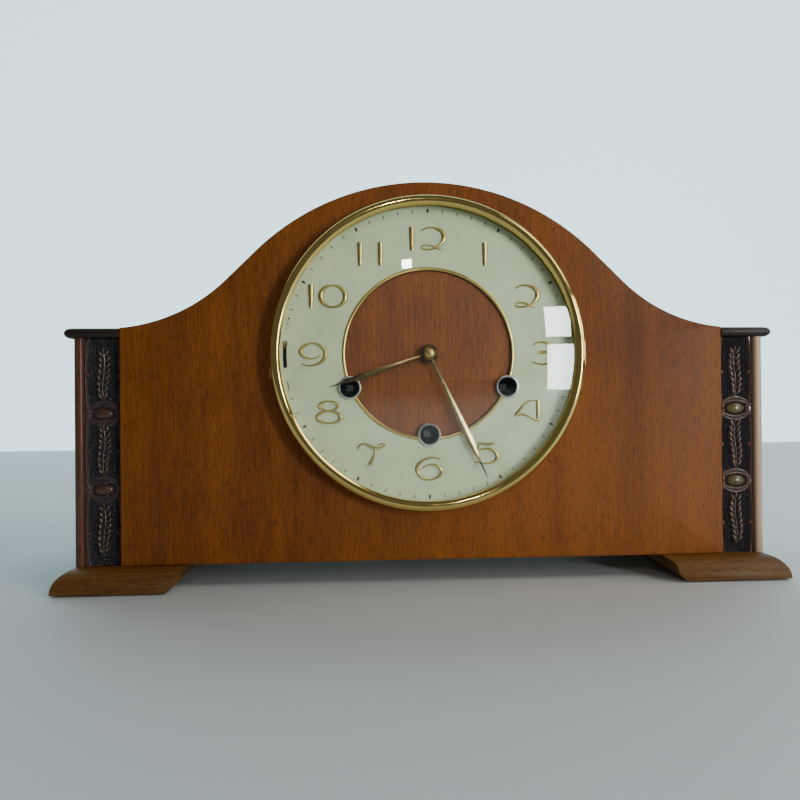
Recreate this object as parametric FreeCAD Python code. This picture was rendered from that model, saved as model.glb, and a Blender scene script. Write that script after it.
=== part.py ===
"""Westminster-chime mantel clock: an arched wooden case on two moulded feet, with a glazed round dial.

Frame: +Z up, the dial looks along -Y, +X is to the right of somebody who reads the time.
Origin: on the table, midway between the ends and between the front of the glass and the back of the feet.
All sizes are millimetres. A positive turn about +Y is clockwise for the reader.
"""

import FreeCAD, Part
import math
import os

from FreeCAD import Rotation, Vector

# ---------------------------------------------------------------- driving dimensions
# Case, across
PANEL_HALF = 173.3          # half the width of the arched front panel
STRIP_WIDTH = 20.5          # carved strip between the panel and the side board
SIDE_THICK = 5.0
CAP_OVERHANG = 5.3
FOOT_HALF = 207.0           # half the overall width, at the tips of the feet
FOOT_INNER_TOP = 136.0
FOOT_INNER_BOTTOM = 146.0
# Case, upwards
PAD_THICK = 1.0
CASE_BOTTOM = 13.2
SHOULDER_Z = 146.7
ARCH_TOP_Z = 230.0
CAP_THICK = 5.6
# Case, front to back
PANEL_FRONT = -62.0
PANEL_THICK = 9.0
CASE_BACK = 68.0
BACK_THICK = 5.0
BOARD_THICK = 5.0           # bent top
BASE_THICK = 6.0
FOOT_FRONT = -75.0
FOOT_BACK = 79.5
STRIP_RECESS = 3.0
# The arch: a crown arc, a short straight slope and a cove on each side
CROWN_RADIUS = 139.4
SLOPE_DEG = 44.3
SLOPE_LENGTH = 24.0
# Dial
DIAL_Z = 131.0
PANEL_HOLE_R = 82.5
DIAL_PLATE_R = 87.2
CHAPTER_OUTER_R = 83.8
CHAPTER_INNER_R = 49.2
BEAD_INNER_R = 47.2
SLOT_R = 81.0
SLOT_HALF_DEG = 5.3
SLOT_WIDTH = 2.2
LEVER_REST_DEG = 4.3
DIAL_BACK = -62.0           # the dial plate lies on the panel's face
DIAL_MID = -63.0
CENTRE_FACE = -64.0
CHAPTER_FACE = -65.4
BEAD_FACE = -65.9
# Bezel and glass
BEZEL_R = 89.0
BEZEL_FRONT = -74.0
GLASS_EDGE_R = 84.4
GLASS_EDGE_Y = -71.3
GLASS_APEX_Y = -79.5
GLASS_THICK = 1.8
BEZEL_HINGE_X = 90.3
BEZEL_HINGE_Y = -64.0
BEZEL_KNUCKLE_R = 1.2
# Hands, at about 8:26, clockwise from twelve. The hour hand is set a degree slow.
MINUTE_DEG = 155.1
HOUR_DEG = (8 + MINUTE_DEG / 360) * 30 - 1.2
MINUTE_LENGTH = 77.1
HOUR_LENGTH = 58.3
HOUR_HAND_BACK = -66.9
MINUTE_HAND_BACK = -68.7
HUB_THICK = 0.8
# Movement
FRONT_PLATE = (-46.0, -44.0)
BACK_PLATE = (-8.0, -6.0)
PLATE_HALF = 68.0
PLATE_LOW_Z = 57.0
PLATE_HIGH_Z = 180.0
PIVOT_R = 0.8
RUNNING = 0.05              # radial clearance of a pivot in its hole
END_SHAKE = 0.2
ARBOR_R = 1.5
WINDING_ARBOR_R = 2.6
SQUARE_SIDE = 3.6
SQUARE_END = -54.0
SIDE_HOLE_R = 48.66         # the two side winding holes, from the dial's centre
SIDE_HOLE_DROP_DEG = 22.9
LOW_HOLE_DROP = 45.8
# Back door
DOOR_HALF = 84.7
DOOR_LOW_Z = 33.0
DOOR_HIGH_Z = 181.0
DOOR_GAP = 0.8
DOOR_HINGE_Y = 69.6
DOOR_KNUCKLE_R = 1.5
# Gong and hammers
ROD_R = 1.5
ROD_Z = 38.0
HAMMER_YS = (-36.0, -29.0, -22.0, -15.0)
ROD_ENDS_X = (-72.0, -54.0, -36.0, -18.0)
GONG_BLOCK_X = (122.0, 150.0)
# Dial fittings
GROMMET_R = 5.9
LEVER_BOSS = (3.3, 4.6)     # inner and outer radius of the boss that the lever turns on
# Bezel hinge
BEZEL_PIN_R = 0.5
KNUCKLE_HALF = 7.0          # half the height of the whole bezel hinge
KNUCKLE_MID = 2.8           # half the height of its moving knuckle
MOVING_GAP = 0.15
# Blade of a hand, and the pipes that the hands ride on
LANCE = [(0.03, 0.42), (0.70, 1.0), (0.87, 0.34), (1.0, 0.10)]    # share of length, share of half width
HOUR_PIPE_R = 2.7
CANNON_R = 1.6
CENTRE_ARBOR_R = 1.0
# Forms of teeth: addendum and dedendum in modules, and tooth thickness as a share of the pitch
WHEEL_FORM = (0.75, 1.1, 0.41)
PINION_FORM = (0.55, 1.05, 0.38)
# Where each wheel stands between the plates
REAR_GREAT = (-21.8, -20.2)
FRONT_GREAT = (-43.2, -41.6)
SECOND_PLANE = (-17.0, -15.8)
CENTRE_PLANE = (-13.4, -12.4)
THIRD_PLANE = (-38.5, -37.6)
ESCAPE_PLANE = (-34.0, -33.2)
MOTION_PLANE = (-52.4, -51.2)
HOUR_PLANE = (-56.0, -54.8)
RATCHET_PLANE = (-49.4, -48.0)
# Ratchets and clicks
RATCHET_R = 9.0
RATCHET_TEETH = 20
CLICK_DIRECTION = {"strike": 160.0, "going": -60.0, "chime": 20.0}
CLICK_SCREW_R = 1.0
# Pendulum
PENDULUM_Y = 3.0
PENDULUM_ROD_R = 1.0
BOB_DROP = 114.0
BOB_R = 14.0
# Chime drum and hammers
DRUM_TEETH = 40
DRUM_SHELL_R = 21.5
PIN_RADIUS = 10.0
HAMMER_PIVOT = (62.0, 72.0)
HAMMER_HEAD = (96.0, 46.6)
HAMMER_ARBOR_R = 1.3
# Plates, studs and door hinges
STUD_R = 1.1
PILLARS = [(-60.0, 63.0), (56.0, 62.0), (-60.0, 174.0), (60.0, 174.0)]
HINGE_ZS = (58.0, 156.0)
HINGE_HALF = 11.0
DOOR_PIN_R = 0.6

PANEL_BACK = PANEL_FRONT + PANEL_THICK
SIDE_OUT = PANEL_HALF + STRIP_WIDTH + SIDE_THICK
BOARD_FRONT_OF_BACK = CASE_BACK - BACK_THICK
CENTRE = (0.0, DIAL_Z)


# ---------------------------------------------------------------- small helpers
def point(x, z, y=0.0):
    return Vector(x, y, z)


def box(x0, x1, y0, y1, z0, z1):
    return Part.makeBox(x1 - x0, y1 - y0, z1 - z0, Vector(x0, y0, z0))


def disc(at, radius, y0, y1):
    """A cylinder along Y, centred on at = (x, z)."""
    return Part.makeCylinder(radius, y1 - y0, Vector(at[0], y0, at[1]), Vector(0, 1, 0))


def ring(at, inner, outer, y0, y1):
    return disc(at, outer, y0, y1).cut(disc(at, inner, y0 - 1, y1 + 1))


def line(a, b):
    return Part.LineSegment(a, b).toShape()


def arc(a, via, b):
    return Part.Arc(a, via, b).toShape()


def path_edges(start, steps, place):
    """Edges through the steps and back to the start. place turns a pair of numbers into a Vector."""
    edges, here = [], start
    for step in steps + [start]:
        if isinstance(step[0], tuple):
            via, end = step
            edges.append(arc(place(*here), place(*via), place(*end)))
        else:
            end = step
            if math.dist(here, end) > 1e-9:
                edges.append(line(place(*here), place(*end)))
        here = end
    return edges


def outline(start, steps):
    """Closed face in the XZ plane. A step is an end point, or a (via, end) pair for an arc."""
    return Part.Face(Part.Wire(path_edges(start, steps, point)))


def board(face, y0, y1):
    """Extrudes a face of the XZ plane from y0 to y1."""
    solid = face.extrude(Vector(0, y1 - y0, 0))
    if solid.Volume < 0:
        solid.reverse()
    solid.translate(Vector(0, y0, 0))
    return solid


def turned(at, steps):
    """Revolves a closed (radius, y) outline about the Y axis through at = (x, z)."""
    edges = path_edges(steps[0], steps[1:], lambda r, y: Vector(r, y, 0))
    solid = Part.Face(Part.Wire(edges)).revolve(Vector(0, 0, 0), Vector(0, 1, 0), 360)
    if solid.Volume < 0:
        solid.reverse()
    solid.translate(Vector(at[0], 0, at[1]))
    return solid


def mirrored(solid):
    return solid.mirror(Vector(0, 0, 0), Vector(1, 0, 0))


def polar(at, radius, degrees):
    """(x, z) at a radius and an angle measured from +X towards +Z."""
    a = math.radians(degrees)
    return (at[0] + radius * math.cos(a), at[1] + radius * math.sin(a))


def clockwise(solid, degrees, at=CENTRE):
    """Turns a solid about the Y axis through at, clockwise for the reader."""
    solid.rotate(Vector(at[0], 0, at[1]), Vector(0, 1, 0), degrees)
    return solid


def fused(solids):
    """One solid from several that touch or overlap: the first sound result, seams removed if possible."""
    whole = solids[0]
    for solid in solids[1:]:
        whole = whole.fuse(solid)
    mended = whole.copy()
    mended.fix(1e-7, 1e-7, 1e-7)
    most = sum(solid.Volume for solid in solids) * 1.000001
    for result in (mended.removeSplitter(), whole.removeSplitter(), mended):
        if result.isValid() and result.Solids and 0 < result.Volume <= most:
            return result
    return whole


def distance(a, b):
    return math.hypot(b[0] - a[0], b[1] - a[1])


def bearing(a, b):
    """Direction from a to b in degrees, from +X towards +Z."""
    return math.degrees(math.atan2(b[1] - a[1], b[0] - a[0]))


def meeting_point(a, from_a, b, from_b, side):
    """The point at distance from_a from a and from_b from b, on one side (+1 or -1) of the line a to b."""
    span = distance(a, b)
    along = (from_a ** 2 - from_b ** 2 + span ** 2) / (2 * span)
    off = math.sqrt(from_a ** 2 - along ** 2) * side
    ux, uz = (b[0] - a[0]) / span, (b[1] - a[1]) / span
    return (a[0] + ux * along - uz * off, a[1] + uz * along + ux * off)


# ---------------------------------------------------------------- the arch
def arch_points(inset):
    """Right half of the arch from the crown to the shoulder, as plain points, moved inwards by inset."""
    slope = math.radians(SLOPE_DEG)
    normal = (math.sin(slope), math.cos(slope))
    crown_centre_z = ARCH_TOP_Z - CROWN_RADIUS
    crown_end = (CROWN_RADIUS * normal[0], crown_centre_z + CROWN_RADIUS * normal[1])
    slope_end = (crown_end[0] + SLOPE_LENGTH * normal[1], crown_end[1] - SLOPE_LENGTH * normal[0])
    to_shoulder = (PANEL_HALF - slope_end[0], SHOULDER_Z - slope_end[1])
    across = to_shoulder[0] * normal[0] + to_shoulder[1] * normal[1]
    cove_radius = (to_shoulder[0] ** 2 + to_shoulder[1] ** 2) / (2 * across)
    cove_centre = (slope_end[0] + cove_radius * normal[0], slope_end[1] + cove_radius * normal[1])

    def on_crown(x):
        return (x, crown_centre_z + math.sqrt((CROWN_RADIUS - inset) ** 2 - x ** 2))

    def on_cove(x):
        return (x, cove_centre[1] - math.sqrt((cove_radius + inset) ** 2 - (x - cove_centre[0]) ** 2))

    crown_x = crown_end[0] - inset * normal[0]
    cove_x = slope_end[0] - inset * normal[0]
    return {
        "top": (0.0, ARCH_TOP_Z - inset),
        "crown_end": on_crown(crown_x),
        "cove_start": on_cove(cove_x),
        "cove_mid": on_cove((cove_x + PANEL_HALF) / 2),
        "shoulder": on_cove(PANEL_HALF),
    }


def arched_face(low_z, inset=0.0, shelf_half=None, shelf_z=None):
    """The arch closed by straight sides down to low_z, with a wider shelf below the shoulders if asked."""
    p = arch_points(inset)

    def left(q):
        return (-q[0], q[1])

    steps = [
        (left(p["cove_mid"]), left(p["cove_start"])),
        left(p["crown_end"]),
        (p["top"], p["crown_end"]),
        p["cove_start"],
        (p["cove_mid"], p["shoulder"]),
    ]
    start = left(p["shoulder"])
    if shelf_half:
        corners = [(PANEL_HALF, shelf_z), (shelf_half, shelf_z), (shelf_half, low_z)]
    else:
        corners = [(PANEL_HALF, low_z)]
    return outline(start, steps + corners + [left(q) for q in reversed(corners)])


# ---------------------------------------------------------------- case
def front_panel():
    panel = board(arched_face(CASE_BOTTOM), PANEL_FRONT, PANEL_BACK)
    return panel.cut(disc(CENTRE, PANEL_HOLE_R, PANEL_FRONT - 1, PANEL_BACK + 1))


def arch_top():
    low = SHOULDER_Z - 40
    outer = board(arched_face(low), PANEL_BACK, BOARD_FRONT_OF_BACK)
    inner = board(arched_face(low - 1, BOARD_THICK), PANEL_BACK - 1, BOARD_FRONT_OF_BACK + 1)
    sides = box(-PANEL_HALF, PANEL_HALF, PANEL_BACK, BOARD_FRONT_OF_BACK, low - 2, ARCH_TOP_Z)
    return outer.cut(inner).common(sides)


def back_board():
    cap_low = SHOULDER_Z - 0.2 - CAP_THICK
    face = arched_face(CASE_BOTTOM, 0.0, PANEL_HALF + STRIP_WIDTH, cap_low)
    half = DOOR_HALF + DOOR_GAP
    opening = box(-half, half, 0, 100, DOOR_LOW_Z - DOOR_GAP, DOOR_HIGH_Z + DOOR_GAP)
    return board(face, BOARD_FRONT_OF_BACK, CASE_BACK).cut(opening)


def base_board():
    half = PANEL_HALF + STRIP_WIDTH
    top = CASE_BOTTOM + BASE_THICK
    wide = box(-half, half, PANEL_BACK, BOARD_FRONT_OF_BACK, CASE_BOTTOM, top)
    return wide


def side_board():
    """Right side board, with a rounded front edge beside the carved strip."""
    inner = PANEL_HALF + STRIP_WIDTH
    front = PANEL_FRONT + 1.0
    body = box(inner, SIDE_OUT, front, CASE_BACK, CASE_BOTTOM, SHOULDER_Z - 0.2 - CAP_THICK)
    front_edges = [e for e in body.Edges if abs(e.CenterOfMass.y - front) < 1e-6 and e.Length > 50]
    return body.makeFillet(SIDE_THICK / 2 - 0.3, front_edges)


def cap():
    """Right cap board with a rounded outer and front edge."""
    high = SHOULDER_Z - 0.2
    low = high - CAP_THICK
    outer = SIDE_OUT + CAP_OVERHANG
    front = PANEL_FRONT - 0.5
    body = box(PANEL_HALF, outer, front, CASE_BACK + 2, low, high)
    rounded = []
    for e in body.Edges:
        level = abs(e.CenterOfMass.z - low) < 1e-6 or abs(e.CenterOfMass.z - high) < 1e-6
        at_rim = abs(e.CenterOfMass.x - outer) < 1e-6 or abs(e.CenterOfMass.y - front) < 1e-6
        if level and at_rim:
            rounded.append(e)
    return body.makeFillet(CAP_THICK / 2 - 0.2, rounded)


def carved_strip():
    """Right carved strip: a backing board, two raised side borders and two oval bosses."""
    left, right = PANEL_HALF, PANEL_HALF + STRIP_WIDTH
    low, high = CASE_BOTTOM, SHOULDER_Z - 0.2 - CAP_THICK
    face, ground = PANEL_FRONT + STRIP_RECESS, PANEL_FRONT + STRIP_RECESS + 2.0
    border = 2.0
    pieces = [
        box(left, right, ground, PANEL_BACK, low, high),
        box(left, left + border, face, ground, low, high),
        box(right - border, right, face, ground, low, high),
    ]
    for share in (1 / 3, 2 / 3):
        z = low + (high - low) * share
        boss = disc(((left + right) / 2, z), 4.5, face, ground + 0.5)
        pieces.append(boss)
    return fused(pieces)


def foot():
    """Right foot: a quarter-round moulding on the front, the end and the back, and an ogee inner end."""
    low, high = PAD_THICK, CASE_BOTTOM
    fillet = high - low - 0.6
    k = fillet * (1 - math.cos(math.pi / 4))
    side = [
        (FOOT_FRONT, low),
        (FOOT_FRONT, low + 0.6),
        ((FOOT_FRONT + k, high - k), (FOOT_FRONT + fillet, high)),
        (FOOT_BACK - fillet, high),
        ((FOOT_BACK - k, high - k), (FOOT_BACK, low + 0.6)),
        (FOOT_BACK, low),
    ]
    edges = path_edges(side[0], side[1:], lambda y, z: Vector(0, y, z))
    lengthwise = Part.Face(Part.Wire(edges)).extrude(Vector(FOOT_HALF + 10, 0, 0))
    mid_x, mid_z = (FOOT_INNER_TOP + FOOT_INNER_BOTTOM) / 2, (low + high) / 2
    bulge = 1.3
    elevation = outline(
        (FOOT_INNER_TOP, high),
        [
            (FOOT_HALF - fillet, high),
            ((FOOT_HALF - k, high - k), (FOOT_HALF, low + 0.6)),
            (FOOT_HALF, low),
            (FOOT_INNER_BOTTOM, low),
            ((mid_x + 2.5 + bulge, mid_z - 3.0 + bulge), (mid_x, mid_z)),
            ((mid_x - 2.5 - bulge, mid_z + 3.0 - bulge), (FOOT_INNER_TOP, high)),
        ],
    )
    return lengthwise.common(board(elevation, FOOT_FRONT - 1, FOOT_BACK + 1))


def foot_pads():
    """Four felt discs under the corners of the feet."""
    pads = []
    for x in (-186.0, 186.0):
        for y in (FOOT_FRONT + 17, FOOT_BACK - 17):
            pads.append(Part.makeCylinder(9.0, PAD_THICK, Vector(x, y, 0)))
    return Part.makeCompound(pads)


# ---------------------------------------------------------------- dial
def winding_holes():
    """Strike, going and chime winding centres, left to right."""
    return {
        "strike": polar(CENTRE, SIDE_HOLE_R, 180 + SIDE_HOLE_DROP_DEG),
        "going": (0.0, DIAL_Z - LOW_HOLE_DROP),
        "chime": polar(CENTRE, SIDE_HOLE_R, -SIDE_HOLE_DROP_DEG),
    }


def pierce_for_grommets(solid, y0, y1):
    for at in winding_holes().values():
        solid = solid.cut(disc(at, GROMMET_R, y0 - 1, y1 + 1))
    return solid


def lever_slot(y0, y1):
    """The curved slot at nine o'clock."""
    inner, outer = SLOT_R - SLOT_WIDTH / 2, SLOT_R + SLOT_WIDTH / 2
    top, bottom = 180 - SLOT_HALF_DEG, 180 + SLOT_HALF_DEG
    face = outline(
        polar(CENTRE, inner, top),
        [
            polar(CENTRE, outer, top),
            (polar(CENTRE, outer, 180), polar(CENTRE, outer, bottom)),
            polar(CENTRE, inner, bottom),
            (polar(CENTRE, inner, 180), polar(CENTRE, inner, top)),
        ],
    )
    return board(face, y0 - 1, y1 + 1)


def dial_plate():
    plate = disc(CENTRE, DIAL_PLATE_R, DIAL_MID, DIAL_BACK)
    boss = disc(CENTRE, LEVER_BOSS[1], DIAL_BACK, DIAL_BACK + 4)
    plate = plate.fuse(boss).cut(disc(CENTRE, LEVER_BOSS[0], DIAL_MID - 1, DIAL_BACK + 6))
    return pierce_for_grommets(plate, DIAL_MID, DIAL_BACK).cut(lever_slot(DIAL_MID, DIAL_BACK))


def chapter_ring():
    flat = ring(CENTRE, CHAPTER_INNER_R, CHAPTER_OUTER_R, CHAPTER_FACE, DIAL_MID)
    return pierce_for_grommets(flat, CHAPTER_FACE, DIAL_MID).cut(lever_slot(CHAPTER_FACE, DIAL_MID))


def chapter_ring_bead():
    """Raised gilt ring round the wooden centre, rounded in front."""
    r0, r1 = BEAD_INNER_R, CHAPTER_INNER_R
    mid = (r0 + r1) / 2
    edge = BEAD_FACE + 0.7
    bead = turned(CENTRE, [(r0, DIAL_MID), (r0, edge), ((mid, BEAD_FACE), (r1, edge)), (r1, DIAL_MID)])
    return pierce_for_grommets(bead, BEAD_FACE, DIAL_MID)


def dial_centre():
    wood = disc(CENTRE, BEAD_INNER_R, CENTRE_FACE, DIAL_MID)
    pierced = pierce_for_grommets(wood, CENTRE_FACE, DIAL_MID)
    return pierced.cut(disc(CENTRE, LEVER_BOSS[0], CENTRE_FACE - 1, DIAL_MID + 1))


def winding_grommets():
    """Three bright eyelets that line the winding holes."""
    bore, flange = GROMMET_R - 0.5, GROMMET_R + 0.6
    eyelets = []
    for at in winding_holes().values():
        outline_ry = [
            (bore, DIAL_BACK + 0.6),
            (bore, BEAD_FACE - 0.2),
            ((GROMMET_R + 0.1, BEAD_FACE - 0.7), (flange, BEAD_FACE)),
            (GROMMET_R, BEAD_FACE),
            (GROMMET_R, DIAL_BACK + 0.6),
        ]
        eyelets.append(turned(at, outline_ry))
    return Part.makeCompound(eyelets)


def knuckle(x, y, radius, z0, z1):
    return Part.makeCylinder(radius, z1 - z0, Vector(x, y, z0))


def bezel_seat_ring():
    """Fixed ring that the bezel closes over, with the two fixed knuckles of its hinge."""
    seat = ring(CENTRE, CHAPTER_OUTER_R + 0.2, DIAL_PLATE_R, -66.9, DIAL_MID)
    pieces = [seat]
    for side in (-1, 1):
        near = DIAL_Z + side * (KNUCKLE_MID + MOVING_GAP)
        far = DIAL_Z + side * KNUCKLE_HALF
        low, high = min(near, far), max(near, far)
        pieces.append(knuckle(BEZEL_HINGE_X, BEZEL_HINGE_Y, BEZEL_KNUCKLE_R, low, high))
        pieces.append(box(DIAL_PLATE_R - 0.1, BEZEL_HINGE_X, -63.4, DIAL_MID, low, high))
    whole = fused(pieces)
    return whole.cut(knuckle(BEZEL_HINGE_X, BEZEL_HINGE_Y, BEZEL_PIN_R, 100, 160))


def bezel_hinge_pin():
    half = KNUCKLE_HALF + 0.4
    return knuckle(BEZEL_HINGE_X, BEZEL_HINGE_Y, BEZEL_PIN_R, DIAL_Z - half, DIAL_Z + half)


def bezel_ring():
    """Brass bezel: a rounded ring with a pocket for the glass, a hinge knuckle and a lifting tab."""
    back = -62.8
    ring_solid = turned(CENTRE, [
        (BEZEL_R, back),
        (BEZEL_R, -70.8),
        ((88.1, -73.1), (85.8, BEZEL_FRONT)),
        ((84.2, -73.5), (82.8, -72.6)),
        (82.8, -72.0),
        (84.8, -72.0),
        (84.8, -67.4),
        (87.6, -67.4),
        (87.6, back),
    ])
    # clear the fixed tongues and knuckles, then add the moving knuckle and the tab
    notch = box(86.0, BEZEL_R + 2, -67.0, -60.0, DIAL_Z - KNUCKLE_HALF - 0.5, DIAL_Z + KNUCKLE_HALF + 0.5)
    low, high = DIAL_Z - KNUCKLE_MID, DIAL_Z + KNUCKLE_MID
    web = box(87.6, BEZEL_HINGE_X, -67.2, BEZEL_HINGE_Y, low, high)
    mid_knuckle = knuckle(BEZEL_HINGE_X, BEZEL_HINGE_Y, BEZEL_KNUCKLE_R, low, high)
    tab_z = DIAL_Z - 10
    tab = box(-BEZEL_R - 1.6, -BEZEL_R + 1.2, -66.5, -64.5, tab_z - 3, tab_z + 3)
    whole = fused([ring_solid.cut(notch), web, mid_knuckle, tab])
    return whole.cut(knuckle(BEZEL_HINGE_X, BEZEL_HINGE_Y, BEZEL_PIN_R + RUNNING, 100, 160))


def dial_glass():
    """Domed glass: a slice of a thin sphere, with a ground edge."""
    rise = GLASS_EDGE_Y - GLASS_APEX_Y
    radius = (GLASS_EDGE_R ** 2 + rise ** 2) / (2 * rise)
    centre_y = GLASS_APEX_Y + radius

    def dome(r, thick):
        return centre_y - math.sqrt((radius - thick) ** 2 - r ** 2)

    half = GLASS_EDGE_R / 2
    return turned(CENTRE, [
        (0.0, GLASS_APEX_Y),
        ((half, dome(half, 0)), (GLASS_EDGE_R, GLASS_EDGE_Y)),
        (GLASS_EDGE_R, dome(GLASS_EDGE_R, GLASS_THICK)),
        ((half, dome(half, GLASS_THICK)), (0.0, dome(0, GLASS_THICK))),
    ])


def silent_lever():
    """Chime and silent lever: it turns on the dial plate's boss, and its pin stands through the slot."""
    y0, y1 = DIAL_BACK + 1.2, DIAL_BACK + 2.2
    hub = disc(CENTRE, LEVER_BOSS[1] + 3, y0, y1)
    arm = box(-SLOT_R - 1.0, 0, y0, y1, DIAL_Z - 2, DIAL_Z + 2)
    pin = disc((-SLOT_R, DIAL_Z), 0.9, CHAPTER_FACE - 1.6, y0)
    whole = fused([hub, arm, pin]).cut(disc(CENTRE, LEVER_BOSS[1] + RUNNING, y0 - 1, y1 + 1))
    return clockwise(whole, LEVER_REST_DEG)


# ---------------------------------------------------------------- hands
def blade(length, back, widths, ridge):
    """A lance-shaped hand that points at twelve: two facets meet in a ridge along the middle."""
    sections = []
    for share, half in widths:
        z = DIAL_Z + length * share
        edge = 0.18
        crest = max(edge + 0.1, ridge * half / max(w for _, w in widths))
        corners = [(-half, 0), (half, 0), (half, edge), (0, crest), (-half, edge)]
        points = [Vector(x, back - rise, z) for x, rise in corners]
        sections.append(Part.makePolygon(points + [points[0]]))
    return Part.makeLoft(sections, True, True)


def hand(length, half_width, back, hub_r, bore_r, degrees):
    widths = [(share, half_width * w) for share, w in LANCE]
    hub = disc(CENTRE, hub_r, back - HUB_THICK, back)
    whole = fused([hub, blade(length, back, widths, 0.7)])
    whole = whole.cut(disc(CENTRE, bore_r, back - 3, back + 3))
    return clockwise(whole, degrees)


def hour_hand():
    return hand(HOUR_LENGTH, 1.8, HOUR_HAND_BACK, 5.2, HOUR_PIPE_R, HOUR_DEG)


def minute_hand():
    return hand(MINUTE_LENGTH, 2.0, MINUTE_HAND_BACK, 3.6, CANNON_R, MINUTE_DEG)


def hand_nut():
    """Domed nut on the threaded end of the cannon pinion's arbor."""
    back = MINUTE_HAND_BACK - HUB_THICK
    front = back - 2.4
    rim = [(3.0, back), (3.0, back - 1.0), (2.4, front + 0.5), (1.2, front)]
    return turned(CENTRE, [(0, back)] + rim + [(0, front)])


# ---------------------------------------------------------------- toothed wheels


def toothed(at, teeth, module, y0, y1, phase, form):
    """A wheel with radial flanks and round-topped teeth. phase is one tooth's direction in degrees."""
    addendum, dedendum, share = form
    pitch_r = module * teeth / 2
    root_r, tip_r = pitch_r - dedendum * module, pitch_r + addendum * module
    half = 180.0 / teeth * share
    edges = []
    for i in range(teeth):
        mid = phase + 360.0 * i / teeth
        a, b = point(*polar(at, root_r, mid - half)), point(*polar(at, pitch_r, mid - half))
        c, d = point(*polar(at, pitch_r, mid + half)), point(*polar(at, root_r, mid + half))
        following = point(*polar(at, root_r, mid + 360.0 / teeth - half))
        edges += [line(a, b), arc(b, point(*polar(at, tip_r, mid)), c), line(c, d), line(d, following)]
    return board(Part.Face(Part.Wire(edges)), y0, y1)


def crossed_out(wheel, at, hub_r, rim_r, y0, y1, spokes=5, spoke_deg=16.0):
    """Cuts the windows between a wheel's spokes."""
    for i in range(spokes):
        start, end = 360.0 * i / spokes + spoke_deg / 2, 360.0 * (i + 1) / spokes - spoke_deg / 2
        mid = (start + end) / 2
        window = outline(
            polar(at, hub_r, start + 6),
            [
                polar(at, rim_r, start),
                (polar(at, rim_r, mid), polar(at, rim_r, end)),
                polar(at, hub_r, end - 6),
                (polar(at, hub_r, mid), polar(at, hub_r, start + 6)),
            ],
        )
        wheel = wheel.cut(board(window, y0 - 1, y1 + 1))
    return wheel


def meshed_phase(driver_at, driver_teeth, driver_phase, follower_at, follower_teeth):
    """A tooth direction for the follower that puts its gap on the driver's tooth."""
    toward = bearing(driver_at, follower_at)
    pitch = 360.0 / driver_teeth
    lag = (driver_phase - toward) - pitch * round((driver_phase - toward) / pitch)
    gap = toward + 180.0 - lag * driver_teeth / follower_teeth
    return gap + 180.0 / follower_teeth


def arbor(at, radius=ARBOR_R):
    """A shaft between the plates with a thin pivot at each end."""
    body = disc(at, radius, FRONT_PLATE[1] + END_SHAKE, BACK_PLATE[0] - END_SHAKE)
    pivots = disc(at, PIVOT_R, FRONT_PLATE[0] - 0.3, BACK_PLATE[1] + 0.3)
    return body.fuse(pivots)


# Tooth counts. Great wheel 80 to pinion 10, 60 to centre pinion 10: one turn of the barrel takes two days.
# Centre 96 to 8 and third 108 to 8 give 162 escape turns an hour, and 32 teeth suit a 120 mm pendulum.
GREAT_TEETH, GREAT_MODULE = 80, 0.6
SECOND_PINION, SECOND_TEETH, SECOND_MODULE = 10, 60, 0.6
CENTRE_PINION, CENTRE_TEETH, CENTRE_MODULE = 10, 96, 0.4
THIRD_PINION, THIRD_TEETH, THIRD_MODULE = 8, 108, 0.35
ESCAPE_PINION, ESCAPE_TEETH, ESCAPE_R = 8, 32, 11.0
CANNON_TEETH, MINUTE_TEETH, MOTION_MODULE = 12, 36, 0.6
MINUTE_PINION, HOUR_TEETH = 10, 40


def centres(module, a, b):
    return module * (a + b) / 2


GOING = winding_holes()["going"]
STRIKE = winding_holes()["strike"]
CHIME = winding_holes()["chime"]
SECOND = meeting_point(GOING, centres(GREAT_MODULE, GREAT_TEETH, SECOND_PINION), CENTRE,
                       centres(SECOND_MODULE, SECOND_TEETH, CENTRE_PINION), 1)
THIRD = polar(CENTRE, centres(CENTRE_MODULE, CENTRE_TEETH, THIRD_PINION), 140)
ESCAPE_REACH = centres(THIRD_MODULE, THIRD_TEETH, ESCAPE_PINION)
ESCAPE = (0.0, THIRD[1] + math.sqrt(ESCAPE_REACH ** 2 - THIRD[0] ** 2))
PALLET = (0.0, ESCAPE[1] + 15.2)
MINUTE_STUD = polar(CENTRE, centres(MOTION_MODULE, CANNON_TEETH, MINUTE_TEETH), 60)
DRUM = meeting_point(GOING, 35.2, CHIME, centres(GREAT_MODULE, GREAT_TEETH, DRUM_TEETH), -1)

SECOND_PHASE = meshed_phase(GOING, GREAT_TEETH, 0.0, SECOND, SECOND_PINION)
CENTRE_PHASE = meshed_phase(SECOND, SECOND_TEETH, 0.0, CENTRE, CENTRE_PINION)
THIRD_PHASE = meshed_phase(CENTRE, CENTRE_TEETH, 0.0, THIRD, THIRD_PINION)
ESCAPE_PHASE = meshed_phase(THIRD, THIRD_TEETH, 0.0, ESCAPE, ESCAPE_PINION)
MINUTE_PHASE = meshed_phase(CENTRE, CANNON_TEETH, 0.0, MINUTE_STUD, MINUTE_TEETH)
HOUR_PHASE = meshed_phase(MINUTE_STUD, MINUTE_PINION, 0.0, CENTRE, HOUR_TEETH)
DRUM_PHASE = meshed_phase(CHIME, GREAT_TEETH, 0.0, DRUM, DRUM_TEETH)


def wheel_on(at, teeth, module, plane, hub_r, phase=0.0):
    """A crossed-out wheel."""
    solid = toothed(at, teeth, module, plane[0], plane[1], phase, WHEEL_FORM)
    rim = module * teeth / 2 - 1.1 * module - 1.2
    return crossed_out(solid, at, hub_r, rim, plane[0], plane[1])


def pinion_on(at, teeth, module, y0, y1, phase):
    return toothed(at, teeth, module, y0, y1, phase, PINION_FORM)


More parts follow.
